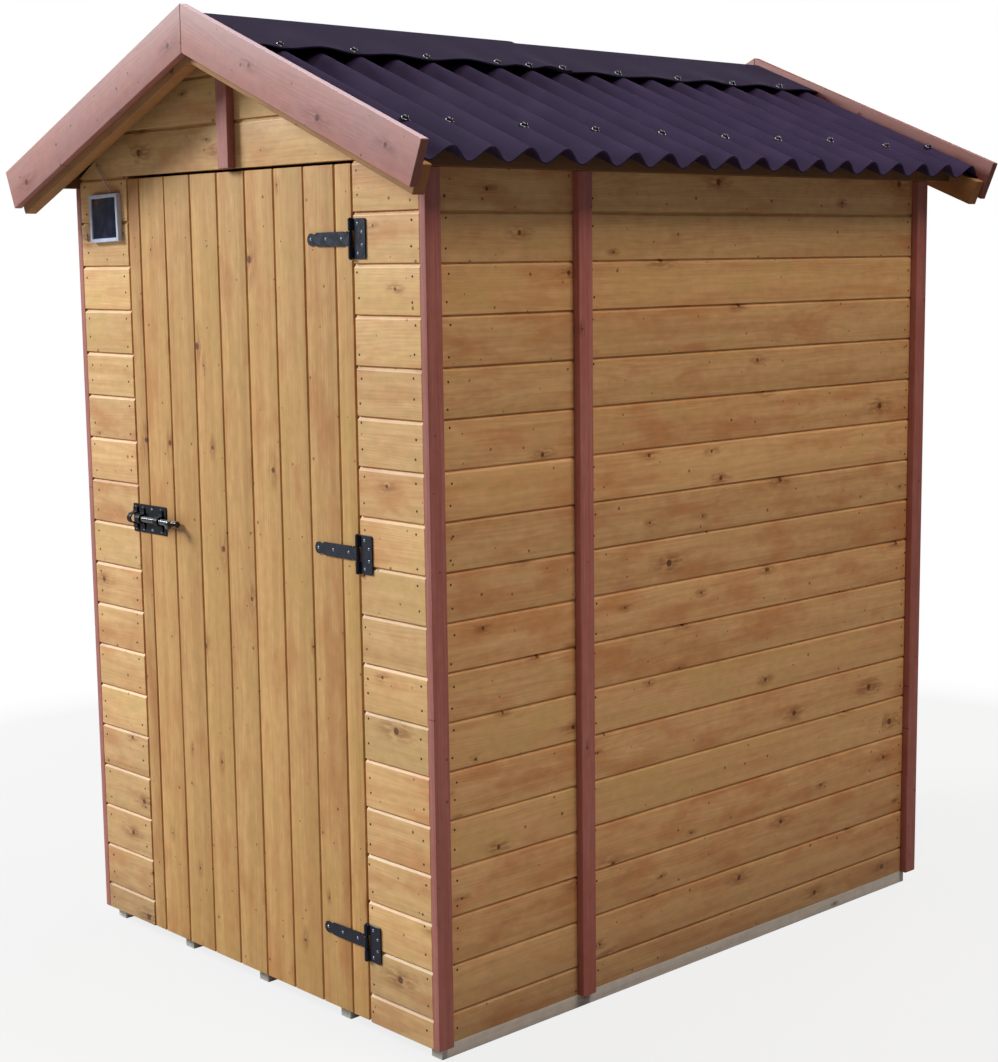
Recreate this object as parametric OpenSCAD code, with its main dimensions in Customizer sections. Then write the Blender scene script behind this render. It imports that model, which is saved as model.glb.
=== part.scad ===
// Outdoor toilet shed: a small timber cabin on bearers, with a boarded door on
// three T-hinges, a sliding bolt, and a pitched roof of corrugated bitumen sheet.
// Millimetres, +Z up, origin on the ground under the middle of the roof.
// The door wall faces -Y, and the door hangs on its +X side.

/* [Walls] */
// Width over the side cladding
wall_w = 1164; // [1000:1:1500]
// Depth over the front and back cladding
wall_d = 1560; // [1200:1:2200]
// Height that one cladding board covers
board_h = 96; // [80:1:120]
// Thickness of the cladding boards
board_t = 19; // [14:1:24]
// Height of the cut board at the foot of each wall
foot_board_h = 62; // [30:1:90]
// Whole boards between the foot board and the door head
boards_up = 17; // [15:1:19]
// Depth of the groove between two cladding boards
groove_d = 5; // [2:0.5:7]
// Height of the bevel on the top edge of each board, with its gap
bevel_h = 8; // [4:1:12]
// Gap between two cladding boards
joint_gap = 2; // [1:0.5:4]

/* [Base] */
// Width of each bearer
bearer_w = 32; // [24:1:60]
// Height of each bearer
bearer_h = 28; // [20:1:60]
// Distance of the bearer ends behind the front and back faces
bearer_setback = 22; // [0:1:60]
// Number of bearers
bearers = 5; // [3:1:7]
// Thickness of the floor boards
floor_t = 18; // [15:1:28]
// Width that one floor board covers
floor_board_w = 110; // [80:1:140]
// Width and depth of the groove between two floor boards
floor_groove = 2; // [1:0.5:4]

/* [Frame] */
// Side of the square frame timbers
stud = 40; // [30:1:50]

/* [Trims] */
// Thickness of the trims
trim_t = 18; // [12:1:24]
// Width of the trims at the front corners and on the gables
corner_trim_w = 38; // [30:1:60]
// Width of the trims along and behind the side walls
side_trim_w = 50; // [35:1:70]
// Distance from the front face to the middle trim
mid_trim_at = 382; // [200:1:700]
// How much shorter than the cladding the trims are at the foot
trim_lift = 0; // [0:1:20]

/* [Door] */
// Width of the doorway
doorway_w = 784; // [600:1:850]
// Gap between the door and what surrounds it
door_gap = 6; // [5.5:0.5:10]
// Height of the foot of the door over the foot of the cladding
door_foot = 2; // [0:1:15]
// Thickness of the door boards
door_board_t = 14; // [12:1:19]
// Width that one door board covers
door_board_w = 97; // [80:1:120]
// Width of the cut board on the bolt side
door_cut_w = 43; // [20:1:80]
// Width and depth of the groove between two door boards
door_groove = 5; // [3:0.5:8]
// Height of the ledges behind the door boards
ledge_h = 90; // [60:1:120]
// Thickness of the ledges
ledge_t = 20; // [15:1:24]
// Distance of the ledge ends inside the door edges
ledge_inset = 8; // [0:1:30]
// Swing of the door, in degrees
door_swing = 110; // [60:1:120]

/* [Hinges] */
// Height of the lowest hinge over the foot of the cladding
hinge_low = 167; // [100:1:260]
// Distance of the highest hinge below the door head
hinge_high = 146; // [80:1:240]
// Length of the strap from the pin
strap_l = 136; // [100:1:180]
// Width of the strap at the knuckle
strap_w = 28; // [20:1:40]
// Height of the plate on the wall
plate_h = 76; // [60:1:110]
// Width of the plate on the wall
plate_w = 41; // [35:1:54]
// Thickness of the hinge and bolt sheet
steel_t = 2.5; // [1.5:0.5:4]
// Outside radius of the hinge barrel
barrel_r = 4.5; // [4:0.5:8]
// Radius of the hinge pin
pin_r = 2.5; // [2:0.5:4]

/* [Bolt] */
// Height of the bolt and of the middle hinge
bolt_z = 975; // [700:1:1200]
// Radius of the bolt rod
rod_r = 7; // [5:0.5:9]
// How far the bolt slides
bolt_travel = 40; // [30:1:44]
// Length of the plate that carries the bolt
bolt_plate_l = 105; // [100:1:130]
// Height of that plate
bolt_plate_h = 63; // [50:1:90]
// Width of the keep on the wall
keep_w = 20; // [14:1:30]

/* [Roof] */
// Pitch of the roof, in degrees
roof_pitch = 22.5; // [18:0.5:28]
// Overhang of the bargeboards past the side cladding
eave_overhang = 137; // [90:1:240]
// Height of the sheets over the head of the side walls
roof_lift = 24; // [12:1:60]
// Overhang from the front and back faces to the bargeboard faces
gable_overhang = 108; // [60:1:200]
// Width of the bargeboards
barge_w = 88; // [60:1:120]
// Thickness of the bargeboards
barge_t = 18; // [12:1:24]
// How far the bargeboards stand above the crests of the sheets, plumb
barge_rise = 18; // [5:1:40]
// Thickness of the rafters behind the bargeboards
rafter_t = 28; // [20:1:45]
// How much deeper than the bargeboards the rafters hang
rafter_drop = 18; // [5:1:40]
// How much shorter than the bargeboards the rafters are
rafter_short = 26; // [20:1:90]
// Distance from one crest of the sheets to the next
wave_pitch = 95; // [70:1:110]
// Height of the waves
wave_h = 31; // [20:1:40]
// Thickness of the sheets
sheet_t = 3; // [2.5:0.5:4]
// First crest of the sheets in front of the front face
crest_lead = 8; // [0:1:60]
// Distance of the eave edge of the sheets inside the bargeboard ends
eave_inset = 42; // [10:1:60]
// Distance of the sheets from the ridge line
ridge_clear = 3; // [1:1:20]
// Width of the ridge cap on each slope
cap_w = 222; // [150:1:260]
// Radius of its rounded back
cap_r = 40; // [20:1:80]
// Width of the eave purlins
purlin_w = 34; // [24:1:45]
// How far the eave purlins hang below the wall head
purlin_drop = 20; // [8:1:40]
// Width of the ridge purlin
ridge_w = 36; // [28:1:60]
// Height of the ridge purlin at its sides
ridge_h = 60; // [40:1:80]

/* [Solar panel] */
// Distance of its middle from the side of the cabin
panel_from_side = 111; // [90:1:130]
// Distance of its middle below the door head
panel_drop = 88; // [75:1:400]
// Width of the panel
panel_w = 114; // [100:1:150]
// Height of the panel
panel_h = 104; // [80:1:150]
// Depth of the panel
panel_t = 11; // [8:1:22]
// Width of its frame
panel_rim = 8; // [6:1:14]
// Turn of the panel on the wall, in degrees
panel_turn = 1.5; // [0:0.5:4]

/* [Hidden] */

seat = 0.3;             // clearance between two pieces that rest on each other
cut = 1;                // how far a cutter runs past what it cuts

// Levels and faces that the pieces share
clad_z = bearer_h;                                  // underside of the cladding
floor_z = bearer_h + floor_t;                       // top of the floor
head_z = clad_z + foot_board_h + boards_up * board_h;  // door head and wall top
half_w = wall_w / 2;
half_d = wall_d / 2;
in_w = half_w - board_t;                            // inner face of the side cladding
in_d = half_d - board_t;                            // inner face of the front cladding
slope = tan(roof_pitch);
up = 1 / cos(roof_pitch);                           // height per thickness across the slope

// Roof planes, each by its height at the ridge
roof_half_w = half_w + eave_overhang;
wave_foot = head_z + roof_lift + half_w * slope;    // feet of the waves, on the purlins
crest_top = wave_foot + wave_h * up;
barge_top = crest_top + barge_rise;
barge_foot = barge_top - barge_w * up;
rafter_foot = barge_foot - rafter_drop;
roof_end = half_d + gable_overhang;                 // outer face of the bargeboards
barge_in = roof_end - barge_t;                      // inner face of the bargeboards
rafter_in = barge_in - rafter_t;                    // inner face of the rafters
eave_x = roof_half_w - eave_inset;

// Middle of the solar panel
panel_x = panel_from_side - half_w;
panel_z = head_z - panel_drop;

// Colours
PINE = [0.78, 0.62, 0.38];
BARE_PINE = [0.72, 0.58, 0.38];
MAHOGANY = [0.52, 0.29, 0.28];
BEARER = [0.50, 0.52, 0.40];
BITUMEN = [0.25, 0.18, 0.28];
BLACK = [0.07, 0.07, 0.08];
ZINC = [0.72, 0.74, 0.80];
GLASS = [0.08, 0.10, 0.24];

// ---- shared shapes ----

// A block given by its two corners
module block(low, high) {
    translate(low) cube([high[0] - low[0], high[1] - low[1], high[2] - low[2]]);
}

// Extrudes an outline of (x, z) points from y0 to y1
module along_y(y0, y1) {
    translate([0, y1, 0]) rotate([90, 0, 0]) linear_extrude(y1 - y0) children();
}

// Extrudes an outline of (y, z) points from x0 to x1
module along_x(x0, x1) {
    translate([x0, 0, 0]) rotate([90, 0, 90]) linear_extrude(x1 - x0) children();
}

// Height of the joint over the foot board and over each whole board above it
function joint_z(j) = clad_z + foot_board_h + j * board_h;

// Section of boards laid one on another: points are (depth from the face, height).
// Each board ends in a bevelled top edge under the square edge of the next.
function board_section(z0, z1) = concat(
    [[0, z0]],
    [for (j = [0 : boards_up + 6], p = [
            [0, joint_z(j) - bevel_h], [groove_d, joint_z(j) - joint_gap],
            [groove_d, joint_z(j)], [0, joint_z(j)]])
        if (joint_z(j) - bevel_h > z0 && joint_z(j) < z1) p],
    [[0, z1], [board_t, z1], [board_t, z0]]
);

// Boards of a side wall on the +X side, from y0 to y1
module side_boards(y0, y1, z0, z1) {
    along_y(y0, y1) polygon([for (p = board_section(z0, z1)) [half_w - p[0], p[1]]]);
}

// Boards of the front wall, from x0 to x1
module front_boards(x0, x1, z0, z1) {
    along_x(x0, x1) polygon([for (p = board_section(z0, z1)) [p[0] - half_d, p[1]]]);
}

// Outline under the roof: everything below the feet of the waves
module under_roof(gap) {
    polygon([
        [-half_w, clad_z - cut], [half_w, clad_z - cut],
        [half_w, wave_foot - gap - half_w * slope], [0, wave_foot - gap],
        [-half_w, wave_foot - gap - half_w * slope]
    ]);
}

// A straight piece on one slope, between two roof planes, cut plumb at the
// ridge and square at its foot
module slope_piece(top, foot, end_x, y0, y1) {
    depth = (top - foot) * cos(roof_pitch);
    along_y(y0, y1) polygon([
        [seat, foot - seat * slope], [seat, top - seat * slope],
        [end_x, top - end_x * slope],
        [end_x - depth * sin(roof_pitch), top - end_x * slope - depth * cos(roof_pitch)]
    ]);
}

// ---- base and frame ----

// Bearers, evenly spaced, the outer ones flush with the side cladding
module bearers() {
    pitch = (wall_w - bearer_w) / (bearers - 1);
    color(BEARER) for (i = [0 : bearers - 1])
        block([i * pitch - half_w, bearer_setback - half_d, 0],
              [i * pitch - half_w + bearer_w, half_d - bearer_setback, bearer_h]);
}

// Floor boards in one layer on the bearers, grooved on top
module floor() {
    n = floor(2 * in_d / floor_board_w);
    color(BARE_PINE) difference() {
        block([-in_w, -in_d, bearer_h], [in_w, in_d, floor_z]);
        for (i = [1 : n])
            translate([0, i * floor_board_w - in_d, floor_z])
                cube([2 * in_w + 2 * cut, floor_groove, 2 * floor_groove], center = true);
    }
}

module corner_posts() {
    color(BARE_PINE) for (sx = [-1, 1], sy = [-1, 1]) {
        x = sx > 0 ? in_w - stud : -in_w;
        y = sy > 0 ? in_d - stud : -in_d;
        block([x, y, floor_z], [x + stud, y + stud, head_z]);
    }
}

// Studs of the side walls, behind the middle trim and in the long bay, and one
// in the middle of the back wall
module wall_studs() {
    y_mid = mid_trim_at + side_trim_w / 2 - half_d;
    y_long = (y_mid + in_d) / 2;
    color(BARE_PINE) {
        for (sx = [-1, 1], y = [y_mid, y_long])
            translate([sx * (in_w - stud / 2), y, (floor_z + head_z) / 2])
                cube([stud, stud, head_z - floor_z - 2 * stud], center = true);
        translate([0, in_d - stud / 2, (floor_z + head_z) / 2])
            cube([stud, stud, head_z - floor_z - 2 * stud], center = true);
    }
}

// Rails between the posts at one level: two sides, the back, and the two short
// ones beside the doorway
module rails(z) {
    jamb_x = doorway_w / 2 + stud;
    for (sx = [-1, 1]) {
        side_x = sx > 0 ? in_w - stud : -in_w;
        block([side_x, stud - in_d + seat, z], [side_x + stud, in_d - stud - seat, z + stud]);
        short_x = sx > 0 ? jamb_x + seat : stud - in_w + seat;
        block([short_x, -in_d, z],
              [short_x + in_w - stud - jamb_x - 2 * seat, stud - in_d, z + stud]);
    }
    block([stud - in_w + seat, in_d - stud, z], [in_w - stud - seat, in_d, z + stud]);
}

module sole_rails() { color(BARE_PINE) rails(floor_z); }

module top_rails() { color(BARE_PINE) rails(head_z - stud); }

module door_jambs() {
    color(BARE_PINE) for (sx = [-1, 1])
        translate([sx * (doorway_w + stud) / 2, stud / 2 - in_d, (floor_z + head_z) / 2])
            cube([stud, stud, head_z - floor_z], center = true);
}

module door_header() {
    x = doorway_w / 2 + stud;
    color(BARE_PINE) block([-x, -in_d, head_z], [x, stud - in_d, head_z + stud]);
}

ridge_foot = wave_foot - ridge_w / 2 * slope - ridge_h;   // underside of the ridge purlin

// Studs in the gables, under the ridge purlin
module gable_studs() {
    color(BARE_PINE) {
        block([-stud / 2, -in_d, head_z + stud], [stud / 2, stud - in_d, ridge_foot]);
        block([-stud / 2, in_d - stud, head_z + seat], [stud / 2, in_d, ridge_foot]);
    }
}

// ---- cladding ----

module front_wall_left() {
    color(PINE) front_boards(-half_w, -doorway_w / 2, clad_z, head_z);
}

module front_wall_right() {
    color(PINE) front_boards(doorway_w / 2, half_w, clad_z, head_z);
}

// Notch that lets the ridge purlin through a gable
module ridge_notch() {
    translate([-ridge_w / 2 - seat, ridge_foot - seat])
        square([ridge_w + 2 * seat, barge_top - ridge_foot]);
}

roof_gap = 2;                       // gap between a gable and the sheets
lead_hole = [panel_x - 37, head_z + 30.5];    // where the lead goes through the gable
lead_hole_r = 3.5;

module front_gable() {
    color(PINE) difference() {
        intersection() {
            front_boards(-half_w, half_w, head_z, wave_foot);
            along_y(-half_d - cut, cut - in_d) under_roof(roof_gap);
        }
        along_y(-half_d - cut, cut - in_d) ridge_notch();
        translate([lead_hole[0], -half_d - cut, lead_hole[1]])
            rotate([-90, 0, 0]) cylinder(h = board_t + 2 * cut, r = lead_hole_r, $fn = 32);
    }
}

module back_wall() {
    color(PINE) difference() {
        intersection() {
            mirror([0, 1, 0]) front_boards(-half_w, half_w, clad_z, wave_foot);
            along_y(in_d - cut, half_d + cut) under_roof(roof_gap);
        }
        along_y(in_d - cut, half_d + cut) ridge_notch();
    }
}

module right_wall() { color(PINE) side_boards(-in_d, in_d, clad_z, head_z); }

module left_wall() { color(PINE) mirror([1, 0, 0]) side_boards(-in_d, in_d, clad_z, head_z); }

// ---- trims ----

purlin_foot = head_z - purlin_drop;      // underside of the eave purlins
trim_gap = 2;                            // gap between a gable trim and the ridge purlin

// Three upright trims on the +X side: corner, middle and rear
module side_trims() {
    spans = [
        [-half_d, corner_trim_w - half_d],
        [mid_trim_at - half_d, mid_trim_at + side_trim_w - half_d],
        [half_d - side_trim_w, half_d]
    ];
    for (s = spans)
        block([half_w, s[0], clad_z + trim_lift], [half_w + trim_t, s[1], purlin_foot]);
}

module trims_right() { color(MAHOGANY) side_trims(); }

module trims_left() { color(MAHOGANY) mirror([1, 0, 0]) side_trims(); }

// A trim up the middle of each gable, from the door head to the sheets
module gable_trims() {
    color(MAHOGANY) for (sy = [-1, 1]) mirror([0, sy > 0 ? 1 : 0, 0])
        block([-corner_trim_w / 2, -half_d - trim_t, head_z],
              [corner_trim_w / 2, -half_d, ridge_foot - trim_gap]);
}

// ---- roof timbers ----

// Purlins outside the head of each side wall, under the sheets
module eave_purlins() {
    color(BARE_PINE) for (s = [0, 1]) mirror([s, 0, 0])
        along_y(seat - rafter_in, rafter_in - seat) polygon([
            [half_w + seat, purlin_foot + seat], [half_w + purlin_w, purlin_foot + seat],
            [half_w + purlin_w, wave_foot - seat - (half_w + purlin_w) * slope],
            [half_w + seat, wave_foot - seat - (half_w + seat) * slope]
        ]);
}

module ridge_purlin() {
    x = ridge_w / 2;
    color(BARE_PINE) along_y(seat - rafter_in, rafter_in - seat) polygon([
        [-x, ridge_foot + seat], [x, ridge_foot + seat], [x, wave_foot - seat - x * slope],
        [0, wave_foot - seat], [-x, wave_foot - seat - x * slope]
    ]);
}

// A pair of rafters from the ridge towards the eaves, behind the bargeboards
module rafter_pair(y0, y1) {
    color(BARE_PINE) for (s = [0, 1]) mirror([s, 0, 0])
        slope_piece(wave_foot - seat, rafter_foot, roof_half_w - rafter_short, y0, y1);
}

module rafters_front() { rafter_pair(-barge_in, -rafter_in); }

module rafters_rear() { rafter_pair(rafter_in, barge_in); }

module bargeboard(y0) {
    color(MAHOGANY) slope_piece(barge_top, barge_foot, roof_half_w, y0, y0 + barge_t);
}

module barge_front_right() { bargeboard(-roof_end); }

module barge_front_left() { mirror([1, 0, 0]) bargeboard(-roof_end); }

module barge_rear_right() { bargeboard(barge_in); }

module barge_rear_left() { mirror([1, 0, 0]) bargeboard(barge_in); }

// ---- roof covering ----

wave_steps = 16;                                 // straight steps in one wave
first_crest = -half_d - crest_lead;              // y of the first whole crest

// Height of the middle of a sheet over its lowest line, at y
function wave(y) = (wave_h - sheet_t) * (1 + cos(360 * (y - first_crest) / wave_pitch)) / 2
    + sheet_t / 2;

// Slope of that line, as an angle
function wave_angle(y) =
    atan(-PI * (wave_h - sheet_t) / wave_pitch * sin(360 * (y - first_crest) / wave_pitch));

// Outline of a sheet seen from the eave, of even thickness across the wave
module wave_outline(y0, y1) {
    n = ceil((y1 - y0) / wave_pitch * wave_steps);
    ys = [for (i = [0 : n]) y0 + (y1 - y0) * i / n];
    polygon(concat(
        [for (y = ys) [y, wave(y) + sheet_t / 2 / cos(wave_angle(y))]],
        [for (i = [n : -1 : 0]) [ys[i], wave(ys[i]) - sheet_t / 2 / cos(wave_angle(ys[i]))]]
    ));
}

// One slope of corrugated sheet on the +X side, from the ridge to the eave
module roof_sheet() {
    length = (eave_x - ridge_clear) * up;
    translate([ridge_clear, 0, wave_foot - ridge_clear * slope]) rotate([0, roof_pitch, 0])
        rotate([90, 0, 90]) linear_extrude(length)
            wave_outline(seat - barge_in, barge_in - seat);
}

module roof_sheet_right() { color(BITUMEN) roof_sheet(); }

module roof_sheet_left() { color(BITUMEN) mirror([1, 0, 0]) roof_sheet(); }

// Folded cap over the ridge, lying on the crests, with a rounded back
module ridge_cap() {
    r = cap_r;
    foot = crest_top + seat * up;        // underside of the wings, over the ridge line
    bend = r * sin(roof_pitch);          // where the wings meet the rounded back
    drop = r * (up - 1);                 // how far rounding lowers the back
    back_z = foot - drop - r;
    steps = 8;
    function arc(radius) = [for (i = [-steps : steps])
        let (a = roof_pitch * i / steps) [radius * sin(a), back_z + radius * cos(a)]];
    outer = arc(r + sheet_t);
    inner = arc(r);
    wing = (cap_w - r * tan(roof_pitch));
    function along_wing(p, s) =
        [p[0] + s * wing * cos(roof_pitch), p[1] - wing * sin(roof_pitch)];
    color(BITUMEN) along_y(seat - barge_in, barge_in - seat) polygon(concat(
        [along_wing(outer[0], -1)], outer, [along_wing(outer[2 * steps], 1)],
        [along_wing(inner[2 * steps], 1)], [for (i = [2 * steps : -1 : 0]) inner[i]],
        [along_wing(inner[0], -1)]
    ));
}

// ---- door ----

pin_stand = 0.5;                            // clearance of the hinge barrel off the wall
door_half = doorway_w / 2 - door_gap;
door_z0 = clad_z + door_foot;
door_z1 = head_z - door_gap;
door_back = door_board_t - half_d;          // back of the door boards
hinge_z = [clad_z + hinge_low, bolt_z, head_z - hinge_high];
pin_x = doorway_w / 2 - door_gap / 2;
pin_y = -half_d - barrel_r - pin_stand;

// Boards of the door, seen from above, with a groove at each joint
module door_boards() {
    first = door_cut_w - door_half;
    n = floor((2 * door_half - door_cut_w) / door_board_w);
    g = door_groove / 2;
    color(PINE) translate([0, 0, door_z0]) linear_extrude(door_z1 - door_z0) polygon(concat(
        [[-door_half, -half_d]],
        [for (i = [0 : n], p = [[-g, 0], [0, door_groove], [g, 0]])
            [first + i * door_board_w + p[0], p[1] - half_d]],
        [[door_half, -half_d], [door_half, door_back], [-door_half, door_back]]
    ));
}

module door_ledges() {
    x = door_half - ledge_inset;
    color(BARE_PINE) for (z = hinge_z)
        block([-x, door_back, z - ledge_h / 2], [x, door_back + ledge_t, z + ledge_h / 2]);
}

knuckle_gap = 0.5;              // clearance between two knuckles
knuckle = strap_w + 4 * knuckle_gap;    // height between the two knuckles of a plate
run = 0.05;                     // running clearance round the pin
pin_end = 1.5;                  // how far the pin shows at each end
plate_notch = 2;                // clearance of a plate beside the middle knuckle

// The wall half of each hinge: plate, two knuckles and the pin
module hinge_plates() {
    outer = (plate_h - knuckle) / 2;
    color(BLACK) for (z = hinge_z) translate([pin_x, 0, z]) {
        difference() {
            translate([0, -half_d - steel_t, -plate_h / 2]) cube([plate_w, steel_t, plate_h]);
            translate([-cut, -half_d - steel_t - cut, -knuckle / 2])
                cube([barrel_r + plate_notch + cut, steel_t + 2 * cut, knuckle]);
        }
        for (s = [-1, 1]) translate([0, pin_y, s * (plate_h - outer) / 2])
            cylinder(h = outer, r = barrel_r, center = true, $fn = 40);
        for (s = [-1, 1]) translate([0, -half_d - barrel_r, s * (plate_h - outer) / 2])
            translate([barrel_r / 2, barrel_r / 2, 0])
                cube([barrel_r, barrel_r, outer], center = true);
        translate([0, pin_y, 0]) cylinder(h = plate_h + 2 * pin_end, r = pin_r, center = true,
            $fn = 32);
    }
}

strap_root = 12;                // distance of the wide end of a strap from the pin
tip_r = 11.5;                   // radius of the lobe at its tip
tip_body = [14, 12.5];          // distance behind the lobe and half width of the body there
tip_neck = [20, 9.5];           // reach and half width of the neck between the two
notch = [20, 4];                // distance from the pin and radius of the two notches
tongue = [13, 9];               // reach and half width of the tongue into the knuckle

// Outline of a strap: a tapered body, a notch on each side, and a lobed tip
module strap_outline() {
    lobe_x = tip_r - strap_l;
    difference() {
        union() {
            polygon([
                [-strap_root, -strap_w / 2], [-strap_root, strap_w / 2],
                [lobe_x + tip_body[0], tip_body[1]], [lobe_x + tip_body[0], -tip_body[1]]
            ]);
            translate([lobe_x, 0]) circle(r = tip_r, $fn = 40);
            translate([lobe_x, -tip_neck[1]]) square([tip_neck[0], 2 * tip_neck[1]]);
        }
        for (s = [-1, 1])
            translate([-notch[0], s * strap_w / 2]) circle(r = notch[1], $fn = 32);
    }
    translate([-tongue[0], -tongue[1]]) square([tongue[0] + 1, 2 * tongue[1]]);
}

// The door half of each hinge: strap and middle knuckle, bored for the pin
module hinge_straps() {
    color(BLACK) for (z = hinge_z) translate([pin_x, 0, z]) difference() {
        union() {
            translate([0, -half_d, 0]) rotate([90, 0, 0]) linear_extrude(steel_t)
                strap_outline();
            translate([0, pin_y, 0])
                cylinder(h = strap_w - 2 * knuckle_gap, r = barrel_r, center = true, $fn = 40);
        }
        translate([0, pin_y, 0])
            cylinder(h = strap_w + 2 * cut, r = pin_r + run, center = true, $fn = 32);
    }
}

// ---- bolt ----

rod_gap = 0.5;                                  // clearance round the rod in its guides
keep_gap = 2.4;                                 // clearance round the rod in the keep
guide_t = 2.5;                                  // thickness of the guide straps
guide_w = 16;                                   // their width along the rod
guide_span = 47;                                // their length up the plate
plate_t = 2;                                    // thickness of the plate and the keep
rod_lift = 1;                                   // clearance between rod and plate
rod_y = -half_d - plate_t - rod_lift - rod_r;
plate_inset = 2;                                // plate from the edge of the door
keep_reach = 3;                                 // keep past the edge of the doorway
tip_gap = 5.5;                                  // clearance of the drawn rod off the keep
bolt_x0 = plate_inset - door_half;              // bolt side end of the plate
keep_x1 = keep_reach - doorway_w / 2;           // door side edge of the keep
tip_x = keep_x1 + tip_gap;                      // tip of the drawn rod
guide_x = [bolt_x0 + 14, bolt_x0 + bolt_plate_l - 20];    // middles of the two guides
knob_gap = 21;                                  // thrown knob past the second guide
tip_l = 2;                                      // length of the tapered tip
knob_r = 9;
knob_neck_r = 4;
knob_h = 25;                                    // knob over the middle of the rod

// A strap bent over the rod, with its bore along the rod, standing on the plate
module guide(x, w, gap) {
    r_in = rod_r + gap;
    r_out = r_in + guide_t;
    translate([x, 0, bolt_z]) difference() {
        union() {
            translate([0, rod_y, 0]) rotate([0, 90, 0])
                cylinder(h = w, r = r_out, center = true, $fn = 48);
            translate([0, (rod_y - half_d - plate_t) / 2, 0])
                cube([w, -half_d - plate_t - rod_y, 2 * r_out], center = true);
            translate([0, -half_d - plate_t - guide_t / 2, 0])
                cube([w, guide_t, guide_span], center = true);
        }
        translate([0, rod_y, 0]) rotate([0, 90, 0])
            cylinder(h = w + 2 * cut, r = r_in, center = true, $fn = 48);
        block([-w, -half_d - plate_t, -guide_span], [w, r_out - half_d, guide_span]);
    }
}

module bolt_plate() {
    color(BLACK) {
        block([bolt_x0, -half_d - plate_t, bolt_z - bolt_plate_h / 2],
              [bolt_x0 + bolt_plate_l, -half_d, bolt_z + bolt_plate_h / 2]);
        for (x = guide_x) guide(x, guide_w, rod_gap);
    }
}

module bolt_keep() {
    color(BLACK) {
        block([keep_x1 - keep_w, -half_d - plate_t, bolt_z - bolt_plate_h / 2],
              [keep_x1, -half_d, bolt_z + bolt_plate_h / 2]);
        guide(keep_x1 - keep_w / 2, guide_w, keep_gap);
    }
}

// The sliding rod with its tapered tip and its knob, shown drawn
module bolt_rod() {
    knob_x = guide_x[1] + guide_w / 2 + knob_gap + bolt_travel;
    color(BLACK) translate([0, rod_y, bolt_z]) {
        translate([tip_x + tip_l, 0, 0]) rotate([0, 90, 0])
            cylinder(h = knob_x + rod_r - tip_l - tip_x, r = rod_r, $fn = 40);
        translate([tip_x, 0, 0]) rotate([0, 90, 0])
            cylinder(h = tip_l, r1 = rod_r - tip_l, r2 = rod_r, $fn = 40);
        translate([knob_x, 0, 0]) rotate([90, 0, 0]) rotate_extrude($fn = 40) polygon([
            [0, 0], [knob_neck_r, 0], [knob_neck_r, knob_h - 11], [knob_r - 3, knob_h - 11],
            [knob_r, knob_h - 7], [knob_r, knob_h - 2], [knob_r - 3, knob_h], [0, knob_h]
        ]);
    }
}

// ---- solar panel ----

panel_back = 3;                 // thickness of the back of the panel
glass_inset = 3;                // depth of the glass behind the rim

// Sets the panel in place on the face of the wall
module on_wall() {
    translate([panel_x, -half_d, panel_z]) rotate([0, -panel_turn, 0]) rotate([90, 0, 0])
        children();
}

module solar_frame() {
    color(ZINC) on_wall() difference() {
        translate([-panel_w / 2, -panel_h / 2, 0]) cube([panel_w, panel_h, panel_t]);
        translate([panel_rim - panel_w / 2, panel_rim - panel_h / 2, panel_back])
            cube([panel_w - 2 * panel_rim, panel_h - 2 * panel_rim, panel_t]);
    }
}

module solar_glass() {
    inset = panel_rim + seat;
    color(GLASS) on_wall()
        translate([inset - panel_w / 2, inset - panel_h / 2, panel_back])
            cube([panel_w - 2 * inset, panel_h - 2 * inset,
                  panel_t - panel_back - glass_inset]);
}

// Route of the lead, from the top edge of the panel to its hole in the gable: points
// are (x from the middle of the panel, y from the front face, z from the door head)
LEAD = [
    [25, -6, -34.4], [24.5, -6, -31], [22, -6, -27], [16.5, -6, -21], [9.5, -6, -14.5],
    [1.5, -5.8, -7.5], [-6.5, -5.5, -0.5], [-13.5, -5.2, 6.5], [-20.5, -5, 13.5],
    [-26.5, -4.6, 20], [-31.5, -3.6, 25.5], [-35, -1.6, 29.2], [-36.6, 1, 30.3],
    [-37, 5, 30.5], [-37, 10, 30.5], [-37, 15, 30.5]
];
lead_r = 1.8;
lead_sides = 8;

function unit(v) = v / norm(v);
function lead_point(i) = [LEAD[i][0] + panel_x, LEAD[i][1] - half_d, LEAD[i][2] + head_z];
function lead_way(i) = unit(
    lead_point(min(i + 1, len(LEAD) - 1)) - lead_point(max(i - 1, 0)));

module solar_lead() {
    n = len(LEAD);
    side = [0.0, -1, 0.35];
    points = [for (i = [0 : n - 1], k = [0 : lead_sides - 1])
        let (w = lead_way(i), u = unit(cross(w, side)), v = cross(w, u), a = 360 * k / lead_sides)
        lead_point(i) + lead_r * (cos(a) * u + sin(a) * v)];
    faces = concat(
        [[for (k = [0 : lead_sides - 1]) k]],
        [for (i = [0 : n - 2], k = [0 : lead_sides - 1])
            let (a = i * lead_sides + k, b = i * lead_sides + (k + 1) % lead_sides)
            each [[a, a + lead_sides, b + lead_sides], [a, b + lead_sides, b]]],
        [[for (k = [lead_sides - 1 : -1 : 0]) (n - 1) * lead_sides + k]]
    );
    color(MAHOGANY) polyhedron(points, faces, convexity = 6);
}

// ---- the assembly ----

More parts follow.
